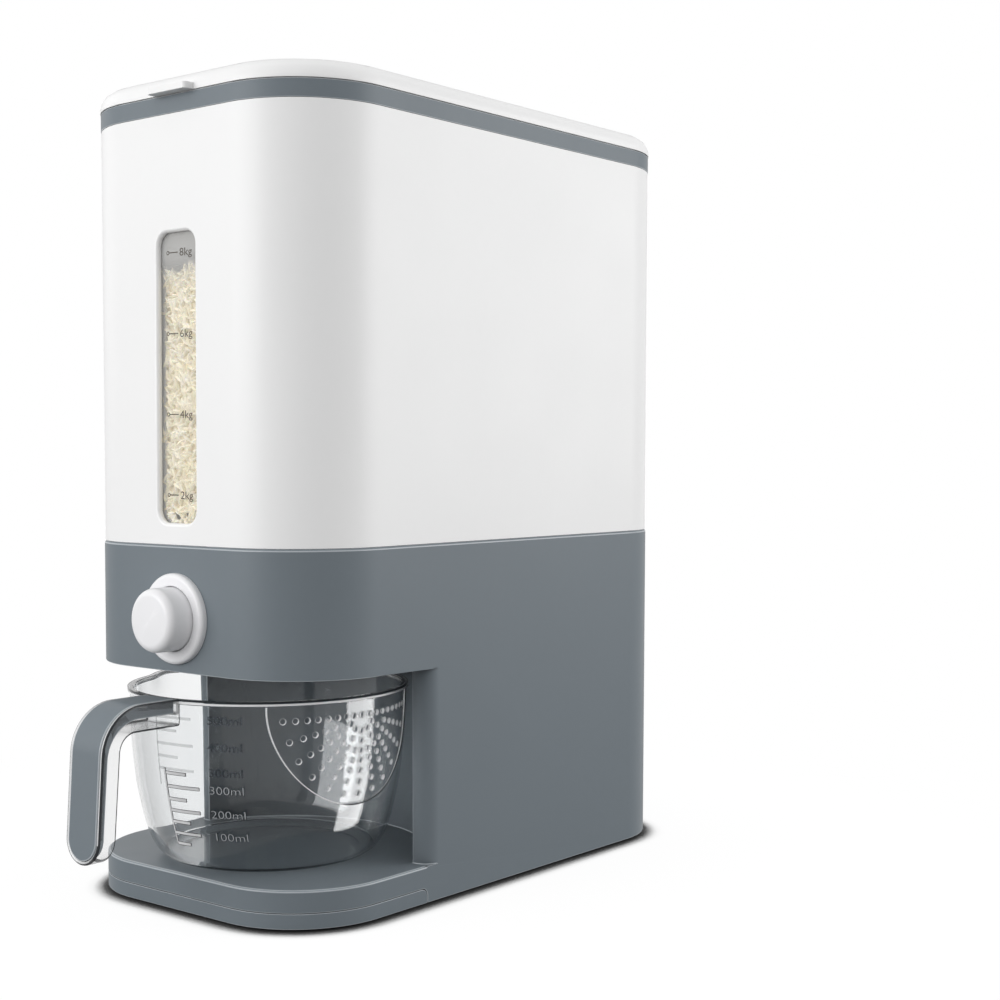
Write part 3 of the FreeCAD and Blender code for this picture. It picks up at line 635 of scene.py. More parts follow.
@contextmanager
def opened(mesh: bpy.types.Mesh) -> Iterator[bmesh.types.BMesh]:
    """Open a mesh for changes, and write them back at the end.

    Args:
        mesh: The mesh.

    Returns:
        The mesh as bmesh works on it.
    """
    work = bmesh.new()
    work.from_mesh(mesh)
    yield work
    work.to_mesh(mesh)
    work.free()


def evaluated(piece: bpy.types.Object) -> bpy.types.Mesh:
    """New mesh of what a piece's modifiers or its curve give.

    Args:
        piece: The piece.

    Returns:
        The mesh.
    """
    bpy.context.view_layer.update()
    graph = bpy.context.evaluated_depsgraph_get()
    return bpy.data.meshes.new_from_object(piece.evaluated_get(graph))


@dataclass
class Sketch:
    """A mesh under construction, in millimetres. What adds to it returns it."""

    points: list[Point] = field(default_factory=list)
    faces: list[tuple[int, ...]] = field(default_factory=list)

    def add(self, points: Sequence[Sequence[float]], faces: Sequence[Sequence[int]]) -> "Sketch":
        """Append points and faces, whose numbers count from the first of these points.

        Args:
            points: The points.
            faces: The faces.

        Returns:
            The sketch.
        """
        start = len(self.points)
        self.points.extend(tuple(point) for point in points)
        self.faces.extend(tuple(start + index for index in face) for face in faces)
        return self

    def rings(self, rings: Sequence[Sequence[Sequence[float]]], closed: bool = False) -> "Sketch":
        """Join rings of equally many points by a skin.

        Args:
            rings: The rings in order.
            closed: Whether the last ring joins the first. Otherwise flat ends close the skin.

        Returns:
            The sketch.
        """
        count = len(rings[0])
        faces = []
        for row in range(len(rings) if closed else len(rings) - 1):
            here = row * count
            there = (row + 1) % len(rings) * count
            for index in range(count):
                following = (index + 1) % count
                faces.append((here + index, here + following, there + following, there + index))
        if not closed:
            faces.append(tuple(reversed(range(count))))
            faces.append(tuple(range((len(rings) - 1) * count, len(rings) * count)))
        return self.add([point for ring in rings for point in ring], faces)

    def extrude(self, outline: Sequence[Flat], low: Place, high: Place) -> "Sketch":
        """Add a prism between two placements of one outline."""
        return self.rings([[low(u, v) for u, v in outline], [high(u, v) for u, v in outline]])

    def turn(self, profile: Sequence[Flat], steps: int,
             place: Callable[[float, float, float], Vector]) -> "Sketch":
        """Add a closed profile turned about an axis.

        Args:
            profile: (radius, distance along the axis) points.
            steps: Number of steps round the axis.
            place: Maps radius, angle and distance along to a point.

        Returns:
            The sketch.
        """
        turn = 2 * math.pi / steps
        rings = [[place(radius, turn * step, along) for step in range(steps)] for radius, along in profile]
        return self.rings(rings, closed=True)

    def build(self, name: str) -> bpy.types.Object:
        """Make an object of this name with outward normals.

        Args:
            name: Name of the piece and its mesh.

        Returns:
            The piece.
        """
        mesh = bpy.data.meshes.new(name)
        mesh.from_pydata([Vector(point) * MM for point in self.points], [], self.faces)
        with opened(mesh) as work:
            bmesh.ops.recalc_face_normals(work, faces=work.faces)
        return in_scene(name, mesh)


def front_view(y: float) -> Place:
    """Map (x, z) to points at one depth."""
    return lambda u, v: Vector((u, y, v))


def side_view(x: float) -> Place:
    """Map (y, z) to points at one distance from the middle."""
    return lambda u, v: Vector((x, u, v))


def top_view(z: float, scale: float = 1.0, middle: float = 0.0) -> Place:
    """Map (x, y) to points at one level, scaled about a middle y."""
    return lambda u, v: Vector((u * scale, (v - middle) * scale + middle, z))


def heading(azimuth: float, elevation: float = 0.0) -> Vector:
    """Unit vector at an azimuth from +X and an elevation, in radians."""
    level = math.cos(elevation)
    return Vector((math.cos(azimuth) * level, math.sin(azimuth) * level, math.sin(elevation)))


def loop(centre: Vector, across: Vector, up: Vector, radius: float, count: int) -> list[Vector]:
    """Points round a centre, in the plane of two unit vectors.

    Args:
        centre: The centre.
        across: One unit vector.
        up: The other one.
        radius: Distance from the centre.
        count: Number of points.

    Returns:
        The points.
    """
    angles = [2 * math.pi * step / count for step in range(count)]
    return [centre + across * (radius * math.cos(angle)) + up * (radius * math.sin(angle))
            for angle in angles]


def arc(u: float, v: float, radius: float, start: float, end: float, steps: int) -> list[Flat]:
    """Points of an arc about (u, v), between two angles in degrees."""
    angles = [math.radians(start + (end - start) * step / steps) for step in range(steps + 1)]
    return [(u + radius * math.cos(angle), v + radius * math.sin(angle)) for angle in angles]


def rounded(corners: Sequence[Point], steps: int) -> list[Flat]:
    """Outline through (u, v, radius) corners, each turned as an arc.

    Args:
        corners: Corners with their radii, in order round the outline.
        steps: Straight pieces in each arc.

    Returns:
        The outline's points.
    """
    outline = []
    for index, (u, v, radius) in enumerate(corners):
        corner = Vector((u, v))
        if radius <= 0:
            outline.append((u, v))
            continue
        before = (Vector(corners[index - 1][:2]) - corner).normalized()
        after = (Vector(corners[(index + 1) % len(corners)][:2]) - corner).normalized()
        half = before.angle(after) / 2
        centre = corner + (before + after).normalized() * (radius / math.sin(half))
        start = corner + before * (radius / math.tan(half)) - centre
        sweep = (corner + after * (radius / math.tan(half)) - centre).angle_signed(start)
        for step in range(steps + 1):
            turn = sweep * step / steps
            arm = Vector((start.x * math.cos(turn) - start.y * math.sin(turn),
                          start.x * math.sin(turn) + start.y * math.cos(turn)))
            outline.append(tuple(centre + arm))
    return outline


def smooth_line(points: Sequence[Flat], steps: int) -> list[Flat]:
    """Points of a smooth curve through the given ones.

    Args:
        points: Points that the curve goes through.
        steps: Steps between two of them.

    Returns:
        The curve's points.
    """
    line = []
    last = len(points) - 1
    for index in range(last):
        before = Vector(points[max(index - 1, 0)])
        start = Vector(points[index])
        end = Vector(points[index + 1])
        after = Vector(points[min(index + 2, last)])
        slope = end - before
        bend = 2 * before - 5 * start + 4 * end - after
        twist = 3 * start - before - 3 * end + after
        for step in range(steps):
            t = step / steps
            line.append(tuple(0.5 * ((2 * start) + slope * t + bend * t * t + twist * t * t * t)))
    return line + [tuple(points[last])]


def apply_modifiers(piece: bpy.types.Object) -> None:
    """Turn a piece's modifiers into its mesh.

    Args:
        piece: The piece.
    """
    mesh = evaluated(piece)
    piece.modifiers.clear()
    piece.data = mesh


def combine(target: bpy.types.Object, tool: bpy.types.Object, operation: Operation) -> bpy.types.Object:
    """Combine a solid with another one, which is used up, and return it.

    Args:
        target: The solid that is kept.
        tool: The solid that is used up.
        operation: What is done.

    Returns:
        The target with its new mesh.
    """
    modifier = target.modifiers.new("combine", "BOOLEAN")
    modifier.operation = operation.value
    modifier.solver = "EXACT"
    modifier.object = tool
    apply_modifiers(target)
    bpy.data.objects.remove(tool)
    return target


def numbered(piece: bpy.types.Object, number: int, count: int = 2) -> bpy.types.Object:
    """Give all of a piece's faces one material number out of a count of them.

    Args:
        piece: The piece.
        number: The number.
        count: How many numbers it has.

    Returns:
        The piece.
    """
    while len(piece.data.materials) < count:
        piece.data.materials.append(None)
    for face in piece.data.polygons:
        face.material_index = number
    return piece


def smooth(piece: bpy.types.Object, angle: float = SHARP) -> None:
    """Shade a piece smoothly, with its sharp edges kept and its large faces flat.

    Args:
        piece: The piece.
        angle: Edges that bend more than this many degrees stay sharp.
    """
    piece.data.shade_smooth()
    piece.data.set_sharp_from_angle(angle=math.radians(angle))
    weighted = piece.modifiers.new("flat_faces", "WEIGHTED_NORMAL")
    weighted.keep_sharp = True
    apply_modifiers(piece)


def round_edges(piece: bpy.types.Object, width: float, segments: int = 2, angle: float = SHARP,
                narrowed: bool = False) -> None:
    """Round a piece's sharp edges, whose faces take the piece's second finish, and smooth its shading.

    Args:
        piece: The piece.
        width: Width of the rounding in millimetres.
        segments: Steps of the rounding.
        angle: Edges that bend more than this many degrees are rounded.
        narrowed: Whether the rounding is narrowed to what the shortest edge has room for.
    """
    weld = piece.modifiers.new("short_edges", "WELD")
    weld.merge_threshold = 0.0 if narrowed else width * MM / 6
    bevel = piece.modifiers.new("edge_rounding", "BEVEL")
    bevel.use_clamp_overlap = narrowed
    bevel.material = 1
    bevel.width = width * MM
    bevel.segments = segments
    bevel.limit_method = "ANGLE"
    bevel.angle_limit = math.radians(angle)
    bevel.miter_outer = "MITER_ARC"
    bevel.harden_normals = False
    apply_modifiers(piece)
    smooth(piece, angle)


def softened(node: str, name: str, width: float, narrowed: bool) -> bpy.types.Object:
    """Copy of a node with rounded edges, which stands for it.

    Args:
        node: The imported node.
        name: Name of the new piece.
        width: Width of the rounding in millimetres.
        narrowed: Whether the rounding is narrowed to what the shortest edge has room for.

    Returns:
        The new piece.
    """
    same_point = 0.002 * MM
    same_plane = math.radians(0.6)
    mesh = frame["nodes"][node].data.copy()
    while len(mesh.materials) < 2:
        mesh.materials.append(None)
    with opened(mesh) as work:
        bmesh.ops.remove_doubles(work, verts=work.verts, dist=same_point)
        bmesh.ops.dissolve_limit(work, angle_limit=same_plane, verts=work.verts, edges=work.edges)
    piece = in_scene(name, mesh)
    round_edges(piece, width, narrowed=narrowed)
    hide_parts(node)
    return piece


def merged(first: bpy.types.Object, second: bpy.types.Object) -> bpy.types.Object:
    """Add the second piece's mesh to the first one's, and remove the second.

    Args:
        first: The piece that is kept.
        second: The piece that is used up.

    Returns:
        The first piece.
    """
    with opened(first.data) as work:
        work.from_mesh(second.data)
    bpy.data.objects.remove(second)
    return first


def lettering(text: str, height: float, depth: float, grow: float = 0.0) -> bpy.types.Object:
    """Solid letters in the XY plane, with their lower left corner at the origin.

    Args:
        text: The letters.
        height: Height of a figure in millimetres.
        depth: Thickness in millimetres.
        grow: How far the outlines are moved outwards in millimetres.

    Returns:
        A mesh object.
    """
    curve = bpy.data.curves.new("lettering", "FONT")
    curve.body = text
    curve.size = height / FIGURE_SHARE * MM
    curve.extrude = depth / 2 * MM
    curve.offset = grow * MM
    curve.resolution_u = 3
    source = in_scene("lettering", curve)
    mesh = evaluated(source)
    bpy.data.objects.remove(source)
    return in_scene("lettering", mesh)


def refinish(node: str, finish: bpy.types.Material) -> None:
    """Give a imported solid, whose shape stays, a finish.

    Args:
        node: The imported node.
        finish: The finish.
    """
    materials = frame["nodes"][node].data.materials
    materials.clear()
    materials.append(finish)
    LOG.info("%s: packed solid, %s", node, finish.name)


def dress(piece: bpy.types.Object, finishes: Sequence[bpy.types.Material], body: Body,
          shadow: bool = True) -> None:
    """Give a piece its finishes, and let it ride on its body.

    Args:
        piece: The piece.
        finishes: The finishes in the order of its material numbers.
        body: The body.
        shadow: Whether it throws a shadow.
    """
    materials = piece.data.materials
    for number, finish in enumerate(finishes):
        if number < len(materials):
            materials[number] = finish
        else:
            materials.append(finish)
    piece.visible_shadow = shadow
    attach(piece, body.value)
    LOG.info("%s: %d points, rides on %s", piece.name, len(piece.data.vertices), body.value)


# ---------------------------------------------------------------- housing


@dataclass
class Housing:
    """Casing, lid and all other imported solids, the main ones with rounded edges."""

    finishes: Finishes
    edge_widths: dict[str, float] = field(default_factory=lambda: {
        "base_housing": 0.4, "bottom_cover": 0.3, "hopper_body": 0.5, "rim_collar": 0.35, "lid": 0.9,
        "cup_handle_grip": 0.6})
    # the piece whose thin lip has no room for the whole rounding
    thin_lipped: str = "lid"

    def build(self) -> None:
        """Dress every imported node, and replace the main ones by copies with rounded edges."""
        record = frame["record"]
        bodies = {node: body for body, nodes in record["behaviour"]["bodies"].items() for node in nodes}
        for subpart in record["subparts"]:
            node = subpart["node"]
            slot = subpart["material_slot"]
            material = self.finishes.by_slot[slot]
            if node in self.edge_widths:
                piece = softened(node, node + "_moulding", self.edge_widths[node], node == self.thin_lipped)
                # the rounded edges take the painted edge highlight
                dress(piece, (material, self.finishes.edges[slot]), Body(bodies[node]))
            else:
                refinish(node, material)


# ---------------------------------------------------------------- window


@dataclass
class Window:
    """Pane with its printed scale, and the rice behind it."""

    finishes: Finishes
    half_width: float = 14.1
    front_gap: float = 0.03
    ink_depth: float = 0.04
    labels: tuple[tuple[str, float], ...] = (("8kg", 331.7), ("6kg", 291.2), ("4kg", 250.7), ("2kg", 210.2))
    tick: Flat = (-8.0, -1.5)
    tick_width: float = 0.5
    dot_x: float = -9.1
    dot_radius: float = 1.05
    dot_line: float = 0.42
    dot_steps: int = 20
    text_x: float = -0.4
    text_height: float = 3.9
    text_width: float = 9.3
    rice_level: float = 325.0
    heap_gap: float = 1.7
    heap_inset: float = 5.0
    heap_corner: float = 48.0
    heap_corner_steps: int = 12
    heap_bottom: float = 252.0
    # the heap's top: how far it lies under the rice's level, and the height, share and middle of its slope
    heap_sink: float = 2.0
    heap_slope: float = 1.0
    heap_share: float = 0.985
    heap_middle: float = 25.0
    # rice in the well behind the window's lower part
    well_half: float = 19.0
    well_depth: float = 24.0
    well_bottom: float = 201.0
    well_overlap: float = 4.0
    seed: int = 11
    layers: int = 3
    layer_grains: int = 270
    layer_lift: float = 1.0
    layer_gap: float = 0.9
    layer_step: float = 0.4
    layer_overhang: float = 1.5
    ripple: float = 0.21
    scatter_grains: int = 1500
    scatter_inset: float = 9.0
    scatter_sink: float = 1.6
    grain_length: Flat = (2.8, 3.7)
    grain_width: Flat = (1.3, 1.75)
    grain_flatness: float = 0.55
    # places of a grain's rings along its half length
    grain_rings: tuple[float, ...] = (-1.0, -0.82, -0.4, 0.2, 0.75, 1.0)
    grain_tip: float = 0.02

    def __post_init__(self) -> None:
        """Take the places of the pane and the hopper from the frame."""
        self.pane_low, pane_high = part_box("window_pane")
        _, self.hopper_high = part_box("hopper_body")
        self.front_y = self.pane_low.y / MM - self.front_gap
        self.back_y = pane_high.y / MM

    def build(self) -> None:
        """Build the pane's finish, its marks and the rice."""
        by_use = self.finishes.by_use
        refinish("window_pane", by_use[Use.PANE])
        dress(self.marks(), (by_use[Use.INK],), Body.ROOT)
        dress(self.heap(), (by_use[Use.HEAP],), Body.ROOT)
        dress(self.grains(), (by_use[Use.GRAIN],), Body.ROOT)

    def marks(self) -> bpy.types.Object:
        """Ticks, dots and figures of the scale.

        Returns:
            The piece.
        """
        sketch = Sketch()
        near = front_view(self.front_y)
        far = front_view(self.front_y - self.ink_depth)
        start, end = self.tick
        half = self.tick_width / 2
        outer = self.dot_radius
        inner = outer - self.dot_line
        dot = [(outer, 0.0), (outer, self.ink_depth), (inner, self.ink_depth), (inner, 0.0)]
        for _, z in self.labels:
            bar = [(start, z - half), (end, z - half), (end, z + half), (start, z + half)]
            sketch.extrude(bar, near, far)
            middle = Vector((self.dot_x, self.front_y, z))
            sketch.turn(dot, self.dot_steps, lambda radius, angle, depth: middle + Vector(
                (radius * math.cos(angle), -depth, radius * math.sin(angle))))
        marks = sketch.build("window_scale")
        for text, z in self.labels:
            words = lettering(text, self.text_height, self.ink_depth)
            narrow = self.text_width * MM / words.dimensions.x
            place = Matrix.Translation(Vector((self.text_x, self.front_y, z - self.text_height / 2)) * MM)
            upright = Matrix.Rotation(math.pi / 2, 4, "X")
            words.data.transform(place @ upright @ Matrix.Scale(narrow, 4, (1, 0, 0)))
            marks = merged(marks, words)
        return marks

    def heap(self) -> bpy.types.Object:
        """Bulk of the rice: a wide body above the floor's slopes, and a part behind the window.

        Returns:
            The piece.
        """
        half = self.hopper_high.x / MM - self.heap_inset
        front = self.back_y + self.heap_gap
        back = self.hopper_high.y / MM - self.heap_inset
        top = self.rice_level - self.heap_sink
        corners = [(-half, front), (half, front), (half, back), (-half, back)]
        outline = rounded([(*corner, self.heap_corner) for corner in corners], self.heap_corner_steps)
        levels = (top_view(self.heap_bottom), top_view(top - self.heap_slope),
                  top_view(top, self.heap_share, self.heap_middle))
        well = [(-self.well_half, front), (self.well_half, front), (self.well_half, front + self.well_depth),
                (-self.well_half, front + self.well_depth)]
        sketch = Sketch().rings([[level(u, v) for u, v in outline] for level in levels])
        sketch.extrude(well, top_view(self.well_bottom), top_view(self.heap_bottom + self.well_overlap))
        return sketch.build("rice_heap")

    def grains(self) -> bpy.types.Object:
        """Loose grains: layers against the pane and a scatter over the heap's top.

        Returns:
            The piece.
        """
        chance = random.Random(self.seed)
        sketch = Sketch()
        bottom = self.pane_low.z / MM + self.layer_lift
        reach_x = self.half_width + self.layer_overhang
        for layer in range(self.layers):
            for _ in range(self.layer_grains):
                x = chance.uniform(-reach_x, reach_x)
                z = chance.uniform(bottom, self.rice_level + math.sin(x * self.ripple) - layer)
                y = self.back_y + self.layer_gap + self.layer_step * layer
                self.add_grain(sketch, chance, Vector((x, y, z)), flat=0.25, spin_axis="Y")
        half = self.hopper_high.x / MM - self.scatter_inset
        middle = (self.back_y + self.hopper_high.y / MM) / 2
        reach = self.hopper_high.y / MM - self.scatter_inset - middle
        z = self.rice_level - self.scatter_sink
        for _ in range(self.scatter_grains):
            x = chance.uniform(-half, half)
            y = chance.uniform(-reach, reach)
            past_x = max(0.0, abs(x) - half + self.heap_corner)
            past_y = max(0.0, abs(y) - reach + self.heap_corner)
            if math.hypot(past_x, past_y) < self.heap_corner:
                self.add_grain(sketch, chance, Vector((x, middle + y, z)), flat=0.3, spin_axis="Z")
        return sketch.build("rice_grains")

    def add_grain(self, sketch: Sketch, chance: random.Random, centre: Vector, flat: float,
                  spin_axis: str) -> None:
        """Add one grain.

        Args:
            sketch: The sketch that takes it.
            chance: Source of its random size and turn.
            centre: Its middle.
            flat: How far it may lean out of the plane, in radians.
            spin_axis: Axis that the plane turns about.
        """
        length = chance.uniform(*self.grain_length)
        width = chance.uniform(*self.grain_width)
        lean = Euler([chance.uniform(-flat, flat) for _ in range(3)]).to_matrix()
        turn = Matrix.Rotation(chance.uniform(0, math.pi), 3, spin_axis) @ lean
        angles = [step * math.pi / 3 for step in range(6)]
        rings = []
        for share in self.grain_rings:
            girth = width * math.sqrt(max(self.grain_tip, 1 - share * share))
            rings.append([centre + turn @ Vector((length * share, girth * math.cos(angle),
                                                  girth * self.grain_flatness * math.sin(angle)))
                          for angle in angles])
        sketch.rings(rings)


# ---------------------------------------------------------------- button


@dataclass
class Button:
    """Round push button and the ring that it runs in."""

    finishes: Finishes
    z: float = 148.5
    ring_radius: float = 22.8
    ring_face_radius: float = 20.5
    ring_proud: float = 3.7
    ring_gap: float = 0.02
    bore: float = 16.3
    bore_edge: float = 1.0
    sleeve: float = 30.5
    sleeve_wall: float = 2.2
    cap_radius: float = 16.0
    cap_proud: float = 17.5
    cap_edge: float = 4.0
    cap_wall: float = 2.0
    cap_skirt: float = 8.0
    # radius of the face's flat middle, and how far it and the face's border fall back
    cap_middle: float = 6.0
    cap_middle_fall: float = 0.03
    cap_fall: float = 0.25
    steps: int = 96
    crease: float = 50.0

    def __post_init__(self) -> None:
        """Take the body's front from the frame."""
        self.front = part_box("button_bezel")[0].y / MM + self.ring_proud

    def build(self) -> None:
        """Build the ring and the cap."""
        for name, node, profile, body in (
                ("button_ring", "button_bezel", self.ring_profile(), Body.ROOT),
                ("button_cap_turned", "button_cap", self.cap_profile(), Body.BUTTON)):
            piece = Sketch().turn(profile, self.steps, self.place).build(name)
            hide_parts(node)
            smooth(piece, self.crease)
            dress(piece, (self.finishes.by_slot["button_plastic"],), body)

    def place(self, radius: float, angle: float, along: float) -> Vector:
        """Point round the button's axis; along counts from the body's front."""
        return Vector((radius * math.cos(angle), self.front + along, self.z + radius * math.sin(angle)))

    def ring_profile(self) -> list[Flat]:
        """Closed profile of the ring and its sleeve.

        Returns:
            (radius, distance along) points.
        """
        out = self.ring_radius - self.ring_face_radius
        inner_edge = self.bore_edge - self.ring_proud
        sleeve_radius = self.bore + self.sleeve_wall
        profile = [(self.bore, self.sleeve), (self.bore, inner_edge)]
        profile += arc(self.bore + self.bore_edge, inner_edge, self.bore_edge, 180, 270, 4)
        profile += arc(self.ring_face_radius, out - self.ring_proud, out, 270, 360, 8)
        return profile + [(self.ring_radius, -self.ring_gap), (sleeve_radius, -self.ring_gap),
                          (sleeve_radius, self.sleeve)]

    def cap_profile(self) -> list[Flat]:
        """Closed profile of the cap, whose face is slightly domed.

        Returns:
            (radius, distance along) points.
        """
        face = -self.cap_proud
        border = self.cap_radius - self.cap_edge
        inner = self.cap_radius - self.cap_wall
        inside = face + 2 * self.cap_wall
        profile = [(AXIS, face), (self.cap_middle, face + self.cap_middle_fall),
                   (border, face + self.cap_fall)]
        profile += arc(border, face + self.cap_fall + self.cap_edge, self.cap_edge, 275, 360, 10)
        return profile + [(self.cap_radius, self.cap_skirt), (inner, self.cap_skirt), (inner, inside),
                          (AXIS, inside)]


# ---------------------------------------------------------------- cup


@dataclass
class Cup:
    """Clear measuring cup with a spout, a strainer field, raised graduations and a handle."""

    finishes: Finishes
    centre_y: float = -73.0
    base_z: float = 20.8
    rim_z: float = 110.0
    wall: float = 2.2
    rim_radius: float = 72.5
    lip_radius: float = 73.4
    lip_height: float = 2.6
    lip_edge: float = 0.5
    mouth_edge: float = 0.4
    steps: int = 160
    crease: float = 30.0
    # outer side of the bowl as (radius, level)
    side: tuple[Flat, ...] = (
        (47.5, 20.8), (52.5, 21.6), (56.0, 23.4), (58.6, 26.0), (62.5, 33.0), (65.8, 44.0), (68.8, 58.0),
        (70.0, 67.0), (71.2, 78.0), (71.8, 87.0), (72.2, 100.0), (72.5, 110.0))
    # the inner side ends this far over the base's inside, which follows as (radius, height over its middle)
    base_edge: float = 1.0
    base_inside: tuple[Flat, ...] = ((48.0, 0.3), (44.0, 0.0), (AXIS, 0.0))
    side_steps: int = 4
    spout_reach: float = 8.0
    spout_height: float = 30.0
    spout_half_angle: float = 22.0
    spout_least_radius: float = 60.0
    # the rim lines stand this far out of the lip and reach this far into it
    rim_line_depths: Flat = (0.14, -0.5)
    strainer_half_width: float = 47.5
    strainer_depth: float = 55.5
    strainer_aside: float = -3.0
    strainer_recess: float = 0.7
    strainer_under_lip: float = 0.2
    # what sinks the strainer: a prism between two distances from the middle, less a core, which goes this far
    # over the rim, and whose floor and side start this far under the strainer
    prism_reach: Flat = (40.0, 90.0)
    core_over: float = 8.0
    core_floor: float = 30.0
    core_side: float = 25.0
    edge_steps: int = 48
    hole_radius: float = 1.4
    hole_mouth: float = 1.7
    hole_sides: int = 16
    bead: float = 0.32
    bead_steps: int = 60
    bead_highlight_steps: int = 26
    bead_sides: int = 6
    row_drop: float = 10.2
    row_count: int = 17
    row_pitch: float = 5.2
    ray_radii: tuple[float, ...] = (8.0, 13.0, 18.1, 23.2, 28.4, 34.1, 40.3)
    ray_angle: int = 15
    last_ray: int = 75
    short_ray_skip: int = 2
    handle_half: float = 12.6
    handle_root: float = 1.3
    handle_foot: float = -195.0
    handle_lean: float = 4.5
    handle_bend: float = 24.0
    bend_steps: int = 14
    end_steps: int = 12
    handle_top: float = 110.4
    handle_end: float = 35.3
    handle_layers: Point = (10.4, 13.6, 9.0)
    grip_layers: Point = (5.0, 7.5, 19.0)
    grip_border: float = 2.2
    # width, steps and least bend of the handle's rounded edges, which take a painted highlight, and the border
    # that is their painted shade outline
    handle_rounding: tuple[float, int, float] = (1.2, 3, 40.0)
    handle_outline: float = 0.6
    # what cuts the grip's space reaches this far past it, and what trims the end has this reach
    grip_past: float = 30.0
    trim_over: float = 40.0
    trim_depths: Flat = (-260.0, -60.0)
    label_azimuth: float = -68.2
    label_stretch: float = 1.26
    label_height: float = 4.1
    # raised marks start this far inside the wall
    mark_root: float = -0.15
    tick_half: float = 0.70
    spine_half: float = 0.35
    spine_sunk: float = 0.02
    # text, level and whether it is one of the near, plainly seen ones
    labels: tuple[tuple[str, float, bool], ...] = (
        ("100ml", 41.7, True), ("200ml", 53.4, True), ("300ml", 65.7, True),
        ("300ml", 74.5, False), ("400ml", 87.2, False), ("500ml", 100.5, False))
    # start, end and level of the comb's ticks, and both ends of its spine as (along, level)
    near_ticks: tuple[Point, ...] = (
        (-22.6, -14.0, 36.0), (-23.0, -7.0, 41.7), (-23.6, -12.5, 47.5), (-24.2, -6.0, 53.4),
        (-24.8, -13.5, 59.3), (-25.2, -5.5, 65.7), (-26.0, -13.0, 72.5))
    near_spine: tuple[float, float, float, float] = (-22.8, 36.0, -27.0, 74.5)
    far_ticks: tuple[Point, ...] = (
        (-31.0, -8.0, 74.5), (-31.5, -17.5, 80.8), (-32.0, -8.0, 87.2), (-32.0, -18.0, 94.0),
        (-32.5, -9.0, 100.5))
    far_spine: tuple[float, float, float, float] = (-30.6, 66.0, -32.5, 101.0)
    # painted shade and highlight lines: name, lower and upper edge from the rim's level, and finish
    rim_lines: tuple[tuple[str, float, float, Use], ...] = (
        ("cup_rim_dark_line", -0.9, 0.06, Use.SHADE_LINE), ("cup_rim_light_line", -2.1, -1.2, Use.RIM_HIGHLIGHT))
    # painted shade outlines, and painted light and shade on the faces, of the raised marks: name, how far the
    # outlines are moved outwards, how far it stands out, whether it is near, and finish
    figure_layers: tuple[tuple[str, float, float, bool, Use], ...] = (
        ("cup_figures", 0.22, 0.30, True, Use.SHADE_LINE),
        ("cup_figure_faces", -0.06, 0.38, True, Use.FIGURE_SHADING),
        ("cup_far_figures", 0.05, 0.25, False, Use.FAR_FIGURE_SHADE))
    comb_layers: tuple[tuple[str, float, float, bool, Use], ...] = (
        ("cup_comb", 0.22, 0.30, True, Use.SHADE_LINE),
        ("cup_comb_faces", -0.06, 0.38, True, Use.TICK_HIGHLIGHT),
        ("cup_far_comb", 0.0, 0.25, False, Use.FAR_TICK_SHADE))

    def build(self) -> None:
        """Build the bowl with everything moulded on it."""
        slot = "clear_plastic"
        clear = self.finishes.by_slot[slot]
        by_use = self.finishes.by_use
        bowl = combine(self.shell(), self.strainer_cutter(), Operation.CUT)
        combine(bowl, numbered(self.hole_cutter(), 1), Operation.CUT)
        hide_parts("cup_bowl")
        smooth(bowl, self.crease)
        # the strainer's cut walls take the film of painted highlight
        dress(bowl, (clear, by_use[Use.WALL_HIGHLIGHT], by_use[Use.INNER_SIDE]), Body.CUP, shadow=False)
        dress(self.handle(), (by_use[Use.HANDLE], by_use[Use.HANDLE_HIGHLIGHT], by_use[Use.HANDLE_SHADE_OUTLINE]),
              Body.CUP, shadow=False)
        dress(self.strainer_bead(), (by_use[Use.WALL_HIGHLIGHT], by_use[Use.SHADE_LINE]), Body.CUP)
        for make, rows in ((self.rim_line, self.rim_lines), (self.figures, self.figure_layers),
                           (self.comb, self.comb_layers)):
            for *details, use in rows:
                dress(make(*details), (by_use[use],), Body.CUP, shadow=False)

    def place(self, radius: float, angle: float, z: float) -> Vector:
        """Point round the cup's axis."""
        return Vector((radius * math.cos(angle), self.centre_y + radius * math.sin(angle), z))

    def spouted(self, radius: float, angle: float, z: float) -> Vector:
        """Point round the cup's axis, drawn out where the spout is.

        Args:
            radius: Radius without the spout.
            angle: Angle round the axis, in radians.
            z: Level.

        Returns:
            The point.
        """
        if radius > self.spout_least_radius:
            rise = max(0.0, (z - self.rim_z + self.spout_height) / self.spout_height)
            off = abs(angle % (2 * math.pi) - math.pi)
            share = max(0.0, 1.0 - off / math.radians(self.spout_half_angle))
            radius += self.spout_reach * rise * rise * math.sin(share * math.pi / 2) ** 2
        return self.place(radius, angle, z)

    def radius_at(self, z: float) -> float:
        """Outer radius of the bowl at one level.

        Args:
            z: The level.

        Returns:
            The radius.
        """
        for (r0, z0), (r1, z1) in zip(self.side, self.side[1:]):
            if z <= z1:
                return r0 + (r1 - r0) * (z - z0) / (z1 - z0)
        return self.rim_radius

    def on_wall(self, azimuth: float, along: float, z: float, out: float) -> Vector:
        """Point over the bowl's side, a distance along it from an azimuth in degrees."""
        radius = self.radius_at(z)
        return self.place(radius + out, math.radians(azimuth) + along / radius, z)

